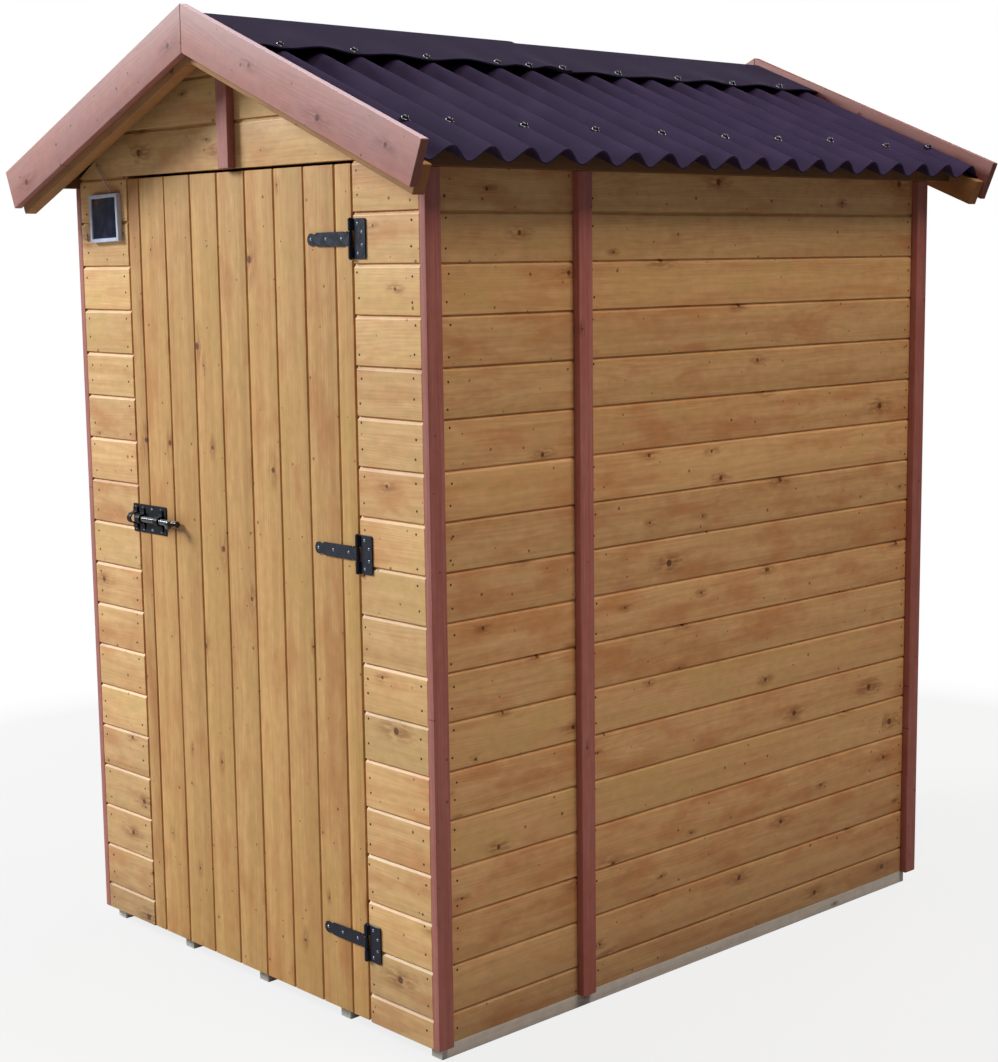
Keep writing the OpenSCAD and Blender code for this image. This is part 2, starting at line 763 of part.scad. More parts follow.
bearers();
floor();
corner_posts();
wall_studs();
sole_rails();
top_rails();
door_jambs();
door_header();
gable_studs();
front_wall_left();
front_wall_right();
front_gable();
back_wall();
left_wall();
right_wall();
trims_left();
trims_right();
gable_trims();
eave_purlins();
ridge_purlin();
rafters_front();
rafters_rear();
barge_front_left();
barge_front_right();
barge_rear_left();
barge_rear_right();
roof_sheet_left();
roof_sheet_right();
ridge_cap();
door_boards();
door_ledges();
hinge_plates();
hinge_straps();
bolt_plate();
bolt_rod();
bolt_keep();
solar_frame();
solar_glass();
solar_lead();
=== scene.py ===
import logging
import math
from dataclasses import dataclass, field, replace
from enum import Enum
from functools import partialmethod

import bpy
import numpy as np
from mathutils import Matrix, Vector
from mathutils.geometry import tessellate_polygon


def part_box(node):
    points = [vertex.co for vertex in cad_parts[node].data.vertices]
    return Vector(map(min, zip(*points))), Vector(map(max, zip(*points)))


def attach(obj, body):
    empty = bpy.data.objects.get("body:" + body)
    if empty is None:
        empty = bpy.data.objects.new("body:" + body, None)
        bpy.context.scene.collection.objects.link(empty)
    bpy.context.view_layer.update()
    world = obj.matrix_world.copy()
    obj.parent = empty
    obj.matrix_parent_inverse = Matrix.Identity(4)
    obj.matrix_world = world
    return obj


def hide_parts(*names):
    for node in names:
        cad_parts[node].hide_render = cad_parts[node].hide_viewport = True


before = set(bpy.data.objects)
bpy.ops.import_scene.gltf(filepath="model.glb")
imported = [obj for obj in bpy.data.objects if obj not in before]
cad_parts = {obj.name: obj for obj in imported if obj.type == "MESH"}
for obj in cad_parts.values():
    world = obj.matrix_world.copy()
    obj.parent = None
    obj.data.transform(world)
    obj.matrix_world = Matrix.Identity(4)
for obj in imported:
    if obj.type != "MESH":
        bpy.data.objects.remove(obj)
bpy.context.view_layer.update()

Array = np.ndarray
Draws = np.random.Generator
Colour = tuple[float, float, float, float]
Spans = tuple[tuple[float, float], tuple[float, float], tuple[float, float]]

LOG = logging.getLogger("shed")
SEED = 20
SIDES = ((-1, "left"), (1, "right"))
X, Y, Z = np.eye(3)


class Body(Enum):
    """The moving bodies that a piece can ride on."""

    SHED = "shed"
    DOOR = "door"
    BOLT = "bolt"


def mm(*lengths: object) -> Array:
    """Lengths given in millimetres, as an array in metres."""
    return np.array(lengths) / 1000


def srgb(*shown: float) -> Colour:
    """Red, green and blue as displayed, from 0 to 255, as the linear colour a shader takes."""
    tint = np.array(shown) / 255
    return (*np.where(tint <= 0.04045, tint / 12.92, ((tint + 0.055) / 1.055) ** 2.4).tolist(), 1.0)


def colours(*shown: tuple[int, int, int]) -> list[Colour]:
    """Several display colours, each as the linear colour a shader takes."""
    return [srgb(*one) for one in shown]


def unit(vector: Array) -> Array:
    """Vectors brought to length one, along the last axis."""
    return vector / np.linalg.norm(vector, axis=-1, keepdims=True)


def pair(side: int, near: float, far: float) -> tuple[float, float]:
    """Two distances on one side of the middle (-1 or 1), the lower first."""
    return min(side * near, side * far), max(side * near, side * far)


def linked(name: str, data: bpy.types.ID) -> bpy.types.Object:
    """A new object, linked to the scene."""
    made = bpy.data.objects.new(name, data)
    bpy.context.scene.collection.objects.link(made)
    return made


def slow_wave(along: Array, rng: Draws, longest: float = 1.1) -> Array:
    """A gentle random wave between about -1 and 1.

    It is the sum of four sines, each 1.9 times shorter and 1.35 times lower than the last.

    Args:
        along: Distances at which the wave is wanted.
        rng: Source of the phases.
        longest: Length of the longest sine.

    Returns:
        The height of the wave at each distance.
    """
    nth = np.arange(4)
    phases = rng.uniform(0, 2 * np.pi, len(nth))
    parts = np.sin(2 * np.pi * along[..., None] * 1.9**nth / longest + phases) / 1.35**nth
    return parts.sum(-1) / 2.2


# ---- outlines ----


def rounded(corners: Array, radii: Array | float, steps: int = 3) -> Array:
    """A closed outline with its corners rounded.

    Each corner becomes the curve (1-t)^2 A + 2t(1-t) C + t^2 B, where C is the corner and
    A and B lie on its two edges at the distance of its radius.

    Args:
        corners: Corner points, anticlockwise, one row each.
        radii: One radius, or one for each corner.
        steps: Straight steps in each rounding.

    Returns:
        The points of the rounded outline, one row each.
    """
    radius = np.broadcast_to(radii, len(corners))[:, None]
    before = corners + radius * unit(np.roll(corners, 1, 0) - corners)
    after = corners + radius * unit(np.roll(corners, -1, 0) - corners)
    t = np.linspace(0, 1, steps + 1)[None, :, None]
    curve = (1 - t) ** 2 * before[:, None] + 2 * t * (1 - t) * corners[:, None]
    return (curve + t**2 * after[:, None]).reshape(-1, 2)


def rectangle(width: float, thick: float, radius: float, middle: tuple = (0.0, 0.0)) -> Array:
    """A rounded rectangle.

    Args:
        width: Size across.
        thick: Size out.
        radius: Radius of its corners.
        middle: Where its middle lies.

    Returns:
        Its points, anticlockwise, one row each.
    """
    corners = np.array([[-1, -1], [1, -1], [1, 1], [-1, 1]]) * (width / 2, thick / 2)
    return rounded(corners, radius) + middle


def circle(radius: float, sides: int) -> Array:
    """A circle about the origin, anticlockwise."""
    turn = np.arange(sides) * 2 * np.pi / sides
    return radius * np.stack([np.cos(turn), np.sin(turn)], 1)


def inset(outline: Array, distance: float) -> Array:
    """An outline moved inwards at each point, square to the line through its neighbours."""
    run = unit(np.roll(outline, -1, 0) - np.roll(outline, 1, 0) + 1e-12)
    return outline + distance * np.stack([-run[:, 1], run[:, 0]], 1)


def walls(rows: int, sides: int) -> Array:
    """Faces between rings of points.

    Args:
        rows: How many rings there are, numbered one after another.
        sides: Points in each ring.

    Returns:
        The faces, each a row of four point numbers.
    """
    grid = np.arange((rows - 1) * sides).reshape(-1, sides)
    a, b = grid.ravel(), np.roll(grid, -1, 1).ravel()
    return np.stack([a, b, b + sides, a + sides], -1)


def triangles(outline: Array) -> Array:
    """Cuts the inside of a flat outline into triangles that turn anticlockwise.

    Args:
        outline: Its points, one row each.

    Returns:
        The triangles, each a row of three point numbers.
    """
    found = np.array(tessellate_polygon([[Vector((x, y, 0)) for x, y in outline]]))
    p = outline[found]
    edge, other = p[:, 1] - p[:, 0], p[:, 2] - p[:, 0]
    turned_over = edge[:, 0] * other[:, 1] - edge[:, 1] * other[:, 0] < 0
    found[turned_over] = found[turned_over][:, ::-1]
    return found


# ---- surfaces ----


@dataclass
class Place:
    """Where an outline stands: its origin and the directions of its three axes."""

    origin: Array
    along: Array
    across: Array
    out: Array

    def at(self, s: Array, a: Array, b: Array) -> Array:
        """Points at distance s along, a across and b out."""
        return self.origin + np.stack([s, a, b], -1) @ np.stack([self.along, self.across, self.out])

    def handed(self) -> bool:
        """True where across, out and along make a right-handed set."""
        return bool(np.dot(np.cross(self.across, self.out), self.along) > 0)


@dataclass
class Timber:
    """How one timber was sawn: its place in the tree, and its tone."""

    shift: Array = field(default_factory=lambda: np.zeros(3))
    tone: Array = field(default_factory=lambda: np.zeros(3))


def sawn(rng: Draws, flat: float = 0.045, middle: float = 0.0) -> Timber:
    """Draws the grain of one timber.

    Args:
        rng: Source of the draws.
        flat: Typical distance of the face from the heart of the tree.
        middle: Where the middle of the timber lies across its outline.

    Returns:
        The timber's shift along, across and into the tree, and its tone: lightness and
        warmth between about -1 and 1.
    """
    shift = np.array([rng.uniform(0, 60), rng.normal(0, 0.03), flat * rng.uniform(0.5, 1.7)])
    tone = np.array([np.clip(rng.normal(0, 0.45), -0.8, 0.8), rng.uniform(-1, 1), 0.0])
    return Timber(shift - middle * Y, tone)


@dataclass
class Surface:
    """Points, faces and grain values gathered for one piece."""

    points: list[Array] = field(default_factory=list)
    grain: list[Array] = field(default_factory=list)
    tone: list[Array] = field(default_factory=list)
    faces: list[list[int]] = field(default_factory=list)
    count: int = 0

    def add(
        self,
        points: Array,
        faces: list[Array],
        grain: Array | None = None,
        timber: Timber | None = None,
        flip: bool = False,
        cut: Array | float = 0.0,
    ) -> None:
        """Adds one closed shape.

        Args:
            points: Its points, one row each.
            faces: Arrays of faces, each face a row of point numbers.
            grain: Distance along, across and into the timber at each point.
            timber: The timber it is sawn from.
            flip: Turns the faces over.
            cut: 1 at the points of a sawn end, 0 elsewhere.
        """
        timber = timber or Timber()
        for array in faces:
            rows = array + self.count
            self.faces += (rows[:, ::-1] if flip else rows).tolist()
        self.points.append(points)
        self.grain.append((points if grain is None else grain) + timber.shift)
        self.tone.append(timber.tone + np.broadcast_to(cut, len(points))[:, None] * Z)
        self.count += len(points)

    def extrude(
        self,
        outline: Array,
        place: Place,
        starts: Array | float,
        ends: Array | float,
        timber: Timber | None = None,
        chamfer: tuple[float, float] = (0.001, 0.001),
        steps: int = 1,
        wander: Array | None = None,
    ) -> None:
        """Carries a closed outline along a straight line, with chamfered ends.

        Point (i, k) is the outline's point k, carried along by start_k + t_i (end_k - start_k),
        plus the wander of station i where there is one. The end rings are the outline moved
        inwards by the chamfer.

        Args:
            outline: Points (across, out), anticlockwise.
            place: Where the outline stands.
            starts: Distance along at which each point starts, or one for all.
            ends: Distance along at which each point ends, or one for all.
            timber: The timber it is sawn from.
            chamfer: Size of the chamfer at the start and at the end.
            steps: Straight steps along the line.
            wander: Shifts (station, point, axis) of the full rings.
        """
        k = len(outline)
        start, end = np.broadcast_to(starts, k), np.broadcast_to(ends, k)
        first, last = start + chamfer[0], end - chamfer[1]
        t = np.linspace(0, 1, steps + 1)[:, None]
        s = np.concatenate([start[None], first + t * (last - first), end[None]])
        rings = np.repeat(outline[None], steps + 3, 0)
        if wander is not None:
            rings[1:-1] += wander
        rings[0] = inset(rings[1], chamfer[0])
        rings[-1] = inset(rings[-2], chamfer[1])
        points = place.at(s, rings[..., 0], rings[..., 1]).reshape(-1, 3)
        grain = np.concatenate([s[..., None], rings], -1).reshape(-1, 3)
        top = triangles(rings[-1]) + (steps + 2) * k
        faces = [walls(steps + 3, k), triangles(rings[0])[:, ::-1], top]
        cut = np.zeros((steps + 3, k))
        cut[[0, -1]] = 1.0
        self.add(points, faces, grain, timber, not place.handed(), cut.ravel())

    def sheet(self, top: Array, bottom: Array, flip: bool = False) -> None:
        """Closes two grids of points into one thin sheet.

        Args:
            top: Points of the upper face, in rows and columns.
            bottom: Points of the lower face, in the same order.
            flip: Turns the sheet's faces over.
        """
        rows, cols = top.shape[:2]
        n = rows * cols
        grid = np.arange(n).reshape(rows, cols)
        a = grid[:-1, :-1].ravel()
        upper = np.stack([a, a + cols, a + cols + 1, a + 1], -1)
        edges = [grid[0], grid[:, -1], grid[-1, ::-1], grid[::-1, 0]]
        rims = [np.stack([e[:-1], e[1:], e[1:] + n, e[:-1] + n], -1) for e in edges]
        points = np.concatenate([top.reshape(-1, 3), bottom.reshape(-1, 3)])
        self.add(points, [upper, upper[:, ::-1] + n, *rims], flip=flip)

    def turned(
        self, outline: Array, centres: Array, axis: Array, sides: int, cross: float = 0.0
    ) -> None:
        """Turns an outline about an axis at each of many centres.

        Point (c, i, k) is centre c, plus radius_i (cos a_k U + sin a_k V), plus height_i along
        the axis, for an outline that starts and ends on the axis.

        Args:
            outline: Points (radius, height) from the foot to the top.
            centres: The centres, one row each.
            axis: The direction that height runs.
            sides: Steps in one turn.
            cross: How deep a cross is pressed into the top.
        """
        axis = unit(axis)
        u = unit(np.cross(axis, X if abs(axis[0]) < 0.9 else Y))
        ring = circle(1.0, sides) @ np.stack([u, np.cross(axis, u)])
        inner = outline[1:-1]
        rows = len(inner)
        arms = np.arange(sides) % (sides // 4) == 0
        near = inner[:, :1] < 0.62 * inner[:, 0].max()
        upper = np.arange(rows)[:, None] >= rows // 2
        height = inner[:, 1:2] - cross * (arms & near & upper)
        body = inner[:, 0, None, None] * ring[None] + height[..., None] * axis
        poles = np.stack([outline[0, 1] * axis, (outline[-1, 1] - cross) * axis])
        template = np.concatenate([body.reshape(-1, 3), poles])
        k = np.arange(sides)
        after, last = (k + 1) % sides, (rows - 1) * sides
        foot = np.stack([np.full(sides, rows * sides), after, k], -1)
        head = np.stack([np.full(sides, rows * sides + 1), last + k, last + after], -1)
        points = (centres[:, None] + template[None]).reshape(-1, 3)
        jumps = (np.arange(len(centres)) * len(template))[:, None, None]
        shapes = (walls(rows, sides), foot, head)
        self.add(points, [(f[None] + jumps).reshape(-1, f.shape[1]) for f in shapes])

    def make(self, name: str, sharp: float = 32.0) -> bpy.types.Object:
        """Makes the mesh and its object.

        Args:
            name: Name of the piece.
            sharp: Angle in degrees past which an edge stays sharp.

        Returns:
            The new object, linked to the scene.
        """
        mesh = bpy.data.meshes.new(name)
        mesh.from_pydata(np.concatenate(self.points).tolist(), [], self.faces)
        for label, arrays in (("grain", self.grain), ("tone", self.tone)):
            values = np.concatenate(arrays).astype(np.float32).ravel()
            mesh.attributes.new(label, "FLOAT_VECTOR", "POINT").data.foreach_set("vector", values)
        mesh.polygons.foreach_set("use_smooth", np.ones(len(mesh.polygons), bool))
        mesh.set_sharp_from_angle(angle=math.radians(sharp))
        mesh.update()
        return linked(name, mesh)


# ---- shader nodes ----


@dataclass
class Wire:
    """What a node puts out. Arithmetic on it adds the nodes that work the result out."""

    bench: "Bench"
    socket: bpy.types.NodeSocket

    def step(self, operation: str, other: object = None) -> "Wire":
        """One step of arithmetic, on numbers or on vectors.

        Args:
            operation: What the step does; LENGTH makes a number of a vector.
            other: The wire or the plain value that it is done with, if it takes one.

        Returns:
            The result.
        """
        number = self.socket.type != "VECTOR"
        kind = "ShaderNodeMath" if number else "ShaderNodeVectorMath"
        feeds = {0: self} if other is None else {0: self, 1: other}
        output = "Value" if number or operation == "LENGTH" else "Vector"
        return self.bench.get(output, kind, feeds, operation=operation)

    __add__ = partialmethod(step, "ADD")
    __sub__ = partialmethod(step, "SUBTRACT")
    __mul__ = partialmethod(step, "MULTIPLY")
    __truediv__ = partialmethod(step, "DIVIDE")
    __pow__ = partialmethod(step, "POWER")
    __lt__ = partialmethod(step, "LESS_THAN")
    largest = partialmethod(step, "MAXIMUM")
    length = partialmethod(step, "LENGTH")
    fraction = partialmethod(step, "FRACT")

    def ease(self, low: object, high: object, to: float = 1.0) -> "Wire":
        """Rises smoothly from 0 to a limit as the value goes from low to high."""
        feeds = {0: self, 1: low, 2: high, 4: to}
        return self.bench.get(0, "ShaderNodeMapRange", feeds, interpolation_type="SMOOTHSTEP")

    def parts(self) -> list["Wire"]:
        """The three numbers of a vector."""
        node = self.bench.add("ShaderNodeSeparateXYZ", {0: self})
        return [Wire(self.bench, socket) for socket in node.outputs]


@dataclass
class Bench:
    """Adds shader nodes to one node tree and joins them."""

    tree: bpy.types.NodeTree

    def feed(self, node: bpy.types.Node, feeds: dict) -> None:
        """Links a wire to each named input of a node, or gives it a plain value.

        Args:
            node: The node.
            feeds: What goes into its inputs, by name or number.
        """
        for label, source in feeds.items():
            if isinstance(source, Wire):
                self.tree.links.new(source.socket, node.inputs[label])
            else:
                node.inputs[label].default_value = source

    def add(self, kind: str, feeds: dict | None = None, **settings: object) -> bpy.types.Node:
        """Adds a node.

        Args:
            kind: Its type.
            feeds: What goes into its inputs, by name or number.
            settings: Its own settings.

        Returns:
            The node.
        """
        node = self.tree.nodes.new(kind)
        for name, value in settings.items():
            setattr(node, name, value)
        self.feed(node, feeds or {})
        return node

    def get(self, output: str | int, kind: str, feeds: dict | None = None, **settings: object) -> Wire:
        """Adds a node and returns one of its outputs."""
        return Wire(self, self.add(kind, feeds, **settings).outputs[output])

    def mix(self, factor: object, a: object, b: object, blend: str = "MIX") -> Wire:
        """Mixes two colours."""
        return self.get(2, "ShaderNodeMix", {0: factor, 6: a, 7: b}, data_type="RGBA", blend_type=blend)

    def noise(self, point: Wire, scale: object = 1.0, detail: float = 2.0) -> Wire:
        """Soft noise between 0 and 1."""
        return self.get("Fac", "ShaderNodeTexNoise", {"Vector": point, "Scale": scale, "Detail": detail})

    def joined(self, x: object, y: object, z: object) -> Wire:
        """A vector from three numbers."""
        return self.get(0, "ShaderNodeCombineXYZ", {0: x, 1: y, 2: z})

    def attribute(self, name: str) -> Wire:
        """A vector kept on the piece's points."""
        return self.get("Vector", "ShaderNodeAttribute", attribute_name=name)

    def object_point(self) -> Wire:
        """The point on the piece, in the shed's own frame."""
        return self.get("Object", "ShaderNodeTexCoord")

    def bump(self, height: Wire, strength: float, distance: float) -> Wire:
        """The normal of a surface with a fine relief."""
        return self.get(0, "ShaderNodeBump", {"Height": height, "Strength": strength, "Distance": distance})


class Effect:
    """A shader node group, built once and placed in each material with its own values."""

    name = ""
    inputs: dict[str, float | tuple] = {}
    outputs: tuple[str, ...] = ()

    def wire(self, bench: Bench, given: dict[str, Wire]) -> dict[str, Wire]:
        """Builds the inside of the group and returns what it puts out, by name."""
        raise NotImplementedError

    def group(self) -> bpy.types.NodeTree:
        """The node group, built at the first call.

        Returns:
            A group with one input for each given default, a vector where that is a tuple,
            and one number for each output.
        """
        found = bpy.data.node_groups.get(self.name)
        if found:
            return found
        tree = bpy.data.node_groups.new(self.name, "ShaderNodeTree")
        for label, value in self.inputs.items():
            kind = "NodeSocketVector" if isinstance(value, tuple) else "NodeSocketFloat"
            tree.interface.new_socket(label, in_out="INPUT", socket_type=kind).default_value = value
        for label in self.outputs:
            tree.interface.new_socket(label, in_out="OUTPUT", socket_type="NodeSocketFloat")
        bench = Bench(tree)
        given = bench.add("NodeGroupInput").outputs
        bench.add("NodeGroupOutput", self.wire(bench, {s.name: Wire(bench, s) for s in given if s.name}))
        return tree

    def place(self, bench: Bench, values: dict[str, object]) -> dict[str, Wire]:
        """Places the group in a material.

        Args:
            bench: The material's bench.
            values: What feeds the group's inputs, by name.

        Returns:
            The group's outputs, by name.
        """
        node = bench.add("ShaderNodeGroup", values, node_tree=self.group())
        return {s.name: Wire(bench, s) for s in node.outputs}


class PineGrain(Effect):
    """Growth rings, fibres, knots and colour patches of sawn softwood.

    Rings follow the distance from the heart of the tree, which leans slowly along the
    timber and bulges round knots. Knots and pin knots stand in loose lattices along and
    across. The other outputs are noises, each stretched along the grain in its own way.
    """

    name = "Pine grain"
    inputs = {"Grain": (0.0, 0.0, 0.0), "Ring gap": 0.0045, "Knot share": 0.4}
    outputs = ("Rings", "Knot", "Halo", "Pin", "Fibre", "Streak", "Patch", "Band", "Mottle")
    knot_cell = (0.22, 0.08)
    pin_cell = (0.085, 0.05)
    noises = {
        "Fibre": ((14.0, 900.0, 900.0), 3.0),
        "Streak": ((2.6, 130.0, 130.0), 2.0),
        "Patch": ((7.0, 17.0, 17.0), 5.0),
        "Band": ((1.7, 40.0, 40.0), 2.0),
        "Mottle": ((38.0, 62.0, 62.0), 4.0),
    }

    def nearest(
        self, bench: Bench, grain: Wire, cell: tuple, shift: tuple, scatter: float
    ) -> tuple[Wire, Wire, Wire]:
        """Finds the nearest knot of a loose lattice.

        Args:
            bench: The group's bench.
            grain: The point in the timber.
            cell: Size of one cell along and across.
            shift: Shift of the lattice, in cells.
            scatter: How far the knots stray from the middles of their cells, from 0 to 1.

        Returns:
            The way from the knot to the point, and two random numbers of the knot.
        """
        lattice = grain / (*cell, 1.0) + shift
        feeds = {"Vector": lattice, "Scale": 1.0, "Randomness": scatter}
        cells = bench.add("ShaderNodeTexVoronoi", feeds, voronoi_dimensions="2D").outputs
        way = (lattice - Wire(bench, cells["Position"])) * (*cell, 0.0)
        chance, size, _ = Wire(bench, cells["Color"]).parts()
        return way, chance, size

    def wire(self, bench: Bench, given: dict[str, Wire]) -> dict[str, Wire]:
        """Builds the knots, the rings and the noises.

        Args:
            bench: The group's bench.
            given: The group's inputs, by name.

        Returns:
            The group's outputs, by name.
        """
        grain, share = given["Grain"], given["Knot share"]
        ragged = bench.noise(grain, 260.0) * 0.004 - 0.002
        way, chance, size = self.nearest(bench, grain, self.knot_cell, (0.0, 0.0, 0.0), 0.9)
        there = chance < share
        radius = size**1.6 * 0.0055 + 0.0028
        knot = (way.length() + ragged).ease(radius * 1.2, radius * 0.7) * there
        swirl = bench.noise(grain * (34.0, 150.0, 150.0)).ease(0.3, 0.62)
        halo = (way * (0.42, 1.0, 0.0)).length().ease(radius * 4.2, radius * 0.6) * swirl * there
        way, chance, size = self.nearest(bench, grain, self.pin_cell, (7.3, 3.1, 0.0), 1.0)
        girth = size**2.0 * 0.002 + 0.0014
        pin = (way.length() + ragged * 0.3).ease(girth * 1.4, girth * 0.7) * (chance < share)
        _, across, depth = grain.parts()
        lean = bench.noise(grain * (1.6, 5.0, 5.0)) * 0.05
        heart = bench.joined(across, depth, 0.0).length() + (lean + halo * radius * 1.6)
        phase = (heart / given["Ring gap"]).fraction()
        rings = phase.ease(0.25, 0.88) * phase.ease(1.0, 0.9)
        made = {name: bench.noise(grain * pull, 1.0, fine) for name, (pull, fine) in self.noises.items()}
        return made | {"Rings": rings, "Knot": knot, "Halo": halo, "Pin": pin}


class FootGreying(Effect):
    """Greyer colour near the ground, from the height of the point."""

    name = "Greying near the ground"
    inputs = {"Point": (0.0, 0.0, 0.0), "Height": 0.35}
    outputs = ("Mask",)

    def wire(self, bench: Bench, given: dict[str, Wire]) -> dict[str, Wire]:
        """Fades upwards from the ground with an uneven upper edge."""
        uneven = bench.noise(given["Point"] * (6.0, 6.0, 14.0), 1.0, 3.0) * 0.18
        return {"Mask": (given["Point"].parts()[2] + uneven).ease(given["Height"] + 0.09, 0.06)}


class DustyWear(Effect):
    """Uneven dust and rubbed patches on a coated surface."""

    name = "Dusty wear"
    inputs = {"Point": (0.0, 0.0, 0.0), "Size": 30.0}
    outputs = ("Dust", "Speckle")

    def wire(self, bench: Bench, given: dict[str, Wire]) -> dict[str, Wire]:
        """Broad dust from slow noise, and fine speckle from fast noise."""
        broad, fine = bench.noise(given["Point"], given["Size"], 4.0), bench.noise(given["Point"], 900.0)
        return {"Dust": broad.ease(0.42, 0.72), "Speckle": fine.ease(0.45, 0.75)}


# ---- finishes ----


@dataclass(frozen=True)
class Finish:
    """A material with the record's slot that it stands for."""

    name: str
    slot: str

    def wire(self, bench: Bench, shader: bpy.types.Node) -> None:
        """Builds the material's nodes in front of its shader."""
        raise NotImplementedError

    def material(self) -> bpy.types.Material:
        """The material, built at the first call.

        Returns:
            The material, whose nodes end in its own shader.
        """
        found = bpy.data.materials.get(self.name)
        if found:
            return found
        made = bpy.data.materials.new(self.name)
        made.use_nodes = True
        self.wire(Bench(made.node_tree), made.node_tree.nodes["Principled BSDF"])
        return made

    def dress(self, piece: bpy.types.Object) -> None:
        """Gives a piece this finish.

        Args:
            piece: The piece's object.
        """
        piece.data.materials.clear()
        piece.data.materials.append(self.material())


@dataclass(frozen=True)
class TimberFinish(Finish):
    """Stained or bare softwood."""

    pale: Colour = srgb(226, 178, 122)
    deep: Colour = srgb(190, 132, 76)
    warm: Colour = srgb(196, 124, 70)
    cool: Colour = srgb(212, 170, 106)
    knot: Colour = srgb(98, 50, 24)
    halo: Colour = srgb(150, 88, 42)
    bleach_and_sheen: Colour = srgb(222, 202, 212)
    foot_grey: Colour = srgb(120, 112, 92)
    ring_gap: float = 0.0045
    ring_strength: float = 0.2
    streak_strength: float = 0.2
    band_strength: float = 0.36
    patch_strength: float = 0.62
    mottle_strength: float = 0.32
    fibre_strength: float = 0.35
    knot_share: float = 0.42
    tone_strength: float = 0.13
    end_strength: float = 0.0
    bleach_and_sheen_strength: float = 0.0
    foot_grey_height: float = 0.3
    foot_grey_strength: float = 0.0
    smear_at: tuple[float, float] | None = None
    smear_reach: float = 0.11
    roughness: float = 0.52
    coat: float = 0.1
    relief: float = 0.12

    def layers(self, wood: dict[str, Wire], warmth: Wire) -> list[tuple[Wire, Colour]]:
        """The colours that the grain lays over one another.

        Args:
            wood: The outputs of the grain, by name.
            warmth: How warm this timber is among the others.

        Returns:
            The mask and the colour of each layer, the lowest first.
        """
        patch = wood["Patch"] + warmth * 0.10
        return [
            (wood["Rings"] * self.ring_strength, self.deep),
            (wood["Streak"].ease(0.4, 0.72, self.streak_strength), self.deep),
            (patch.ease(0.46, 0.76, self.patch_strength), self.warm),
            (patch.ease(0.5, 0.26, self.patch_strength), self.cool),
            (wood["Halo"] * 0.7, self.halo),
            (wood["Knot"] * 0.9, self.knot),
            (wood["Pin"] * 0.75, self.knot),
        ]

    def overlays(self, bench: Bench, patch: Wire, end: Wire) -> list[tuple[Wire, Colour]]:
        """The colours laid over the timber: upward faces paled, partly by bleaching and partly as painted
        highlight; greying near the ground; a darker smear; dark sawn ends.

        Args:
            bench: The material's bench.
            patch: The patches of the grain, which make the darker smear uneven.
            end: 1 on a sawn end, 0 elsewhere.

        Returns:
            The mask and the colour of each layer, the lowest first.
        """
        found = []
        # Upward faces are paled: partly sun-bleaching, partly a painted highlight where light falls from
        # above.
        if self.bleach_and_sheen_strength:
            upward = bench.get("Normal", "ShaderNodeTexCoord").parts()[2]
            found.append((upward.ease(0.3, 0.9, self.bleach_and_sheen_strength), self.bleach_and_sheen))
        # Greyer towards the foot of the walls, fading upwards.
        if self.foot_grey_strength:
            values = {"Point": bench.object_point(), "Height": self.foot_grey_height}
            ground = FootGreying().place(bench, values)
            found.append((ground["Mask"] * self.foot_grey_strength, self.foot_grey))
        # A darker brown smear round a given point, fading with distance from it.
        if self.smear_at:
            x, z = self.smear_at
            away = ((bench.object_point() - (x, 0.0, z)) * (1.0, 0.0, 1.5)).length()
            found.append(((away + patch * 0.04).ease(self.smear_reach, 0.02, 0.5), self.halo))
        if self.end_strength:
            found.append((end * self.end_strength, self.knot))
        return found

    def wire(self, bench: Bench, shader: bpy.types.Node) -> None:
        """Colours the timber from its grain, its tone and its height over the ground.

        Args:
            bench: The material's bench.
            shader: The shader that the colour, the roughness and the relief go into.
        """
        values = {"Ring gap": self.ring_gap, "Knot share": self.knot_share}
        wood = PineGrain().place(bench, {"Grain": bench.attribute("grain"), **values})
        light, warmth, end = bench.attribute("tone").parts()
        colour = bench.mix(wood["Band"].ease(0.38, 0.66, self.band_strength), self.pale, self.deep)
        for mask, over in self.layers(wood, warmth):
            colour = bench.mix(mask, colour, over)
        level = light * self.tone_strength + (wood["Fibre"] - 0.5) * self.fibre_strength
        level = level + ((wood["Mottle"] - 0.5) * self.mottle_strength + 1.0)
        colour = bench.mix(1.0, colour, bench.joined(level, level, level), "MULTIPLY")
        for mask, over in self.overlays(bench, wood["Patch"], end):
            colour = bench.mix(mask, colour, over)
        looks = {
            "Base Color": colour,
            "Roughness": wood["Fibre"] * 0.2 + (self.roughness - 0.1),
            "Specular IOR Level": 0.32,
            "Coat Weight": self.coat,
            "Coat Roughness": 0.35,
            "Normal": bench.bump(wood["Rings"] + wood["Fibre"] * 0.8, self.relief, 0.0006),
        }
        bench.feed(shader, looks)


@dataclass(frozen=True)
class SheetFinish(Finish):
    """Matt bitumen sheet, dusty on top."""

    base: Colour = srgb(41, 28, 56)
    dust: Colour = srgb(59, 46, 75)
    dust_strength: float = 0.35
    speckle_strength: float = 0.25
    size: float = 9.0

    def wire(self, bench: Bench, shader: bpy.types.Node) -> None:
        """Dark sheet with broad dust and a felted relief.

        Args:
            bench: The material's bench.
            shader: The shader that the colour and the relief go into.
        """
        point = bench.object_point()
        wear = DustyWear().place(bench, {"Point": point, "Size": self.size})
        colour = bench.mix(wear["Dust"] * self.dust_strength, self.base, self.dust)
        looks = {
            "Base Color": bench.mix(wear["Speckle"] * self.speckle_strength, colour, self.dust),
            "Roughness": 0.85,
            "Specular IOR Level": 0.2,
            "Normal": bench.bump(bench.noise(point, 420.0, 4.0), 0.35, 0.0012),
        }
        bench.feed(shader, looks)


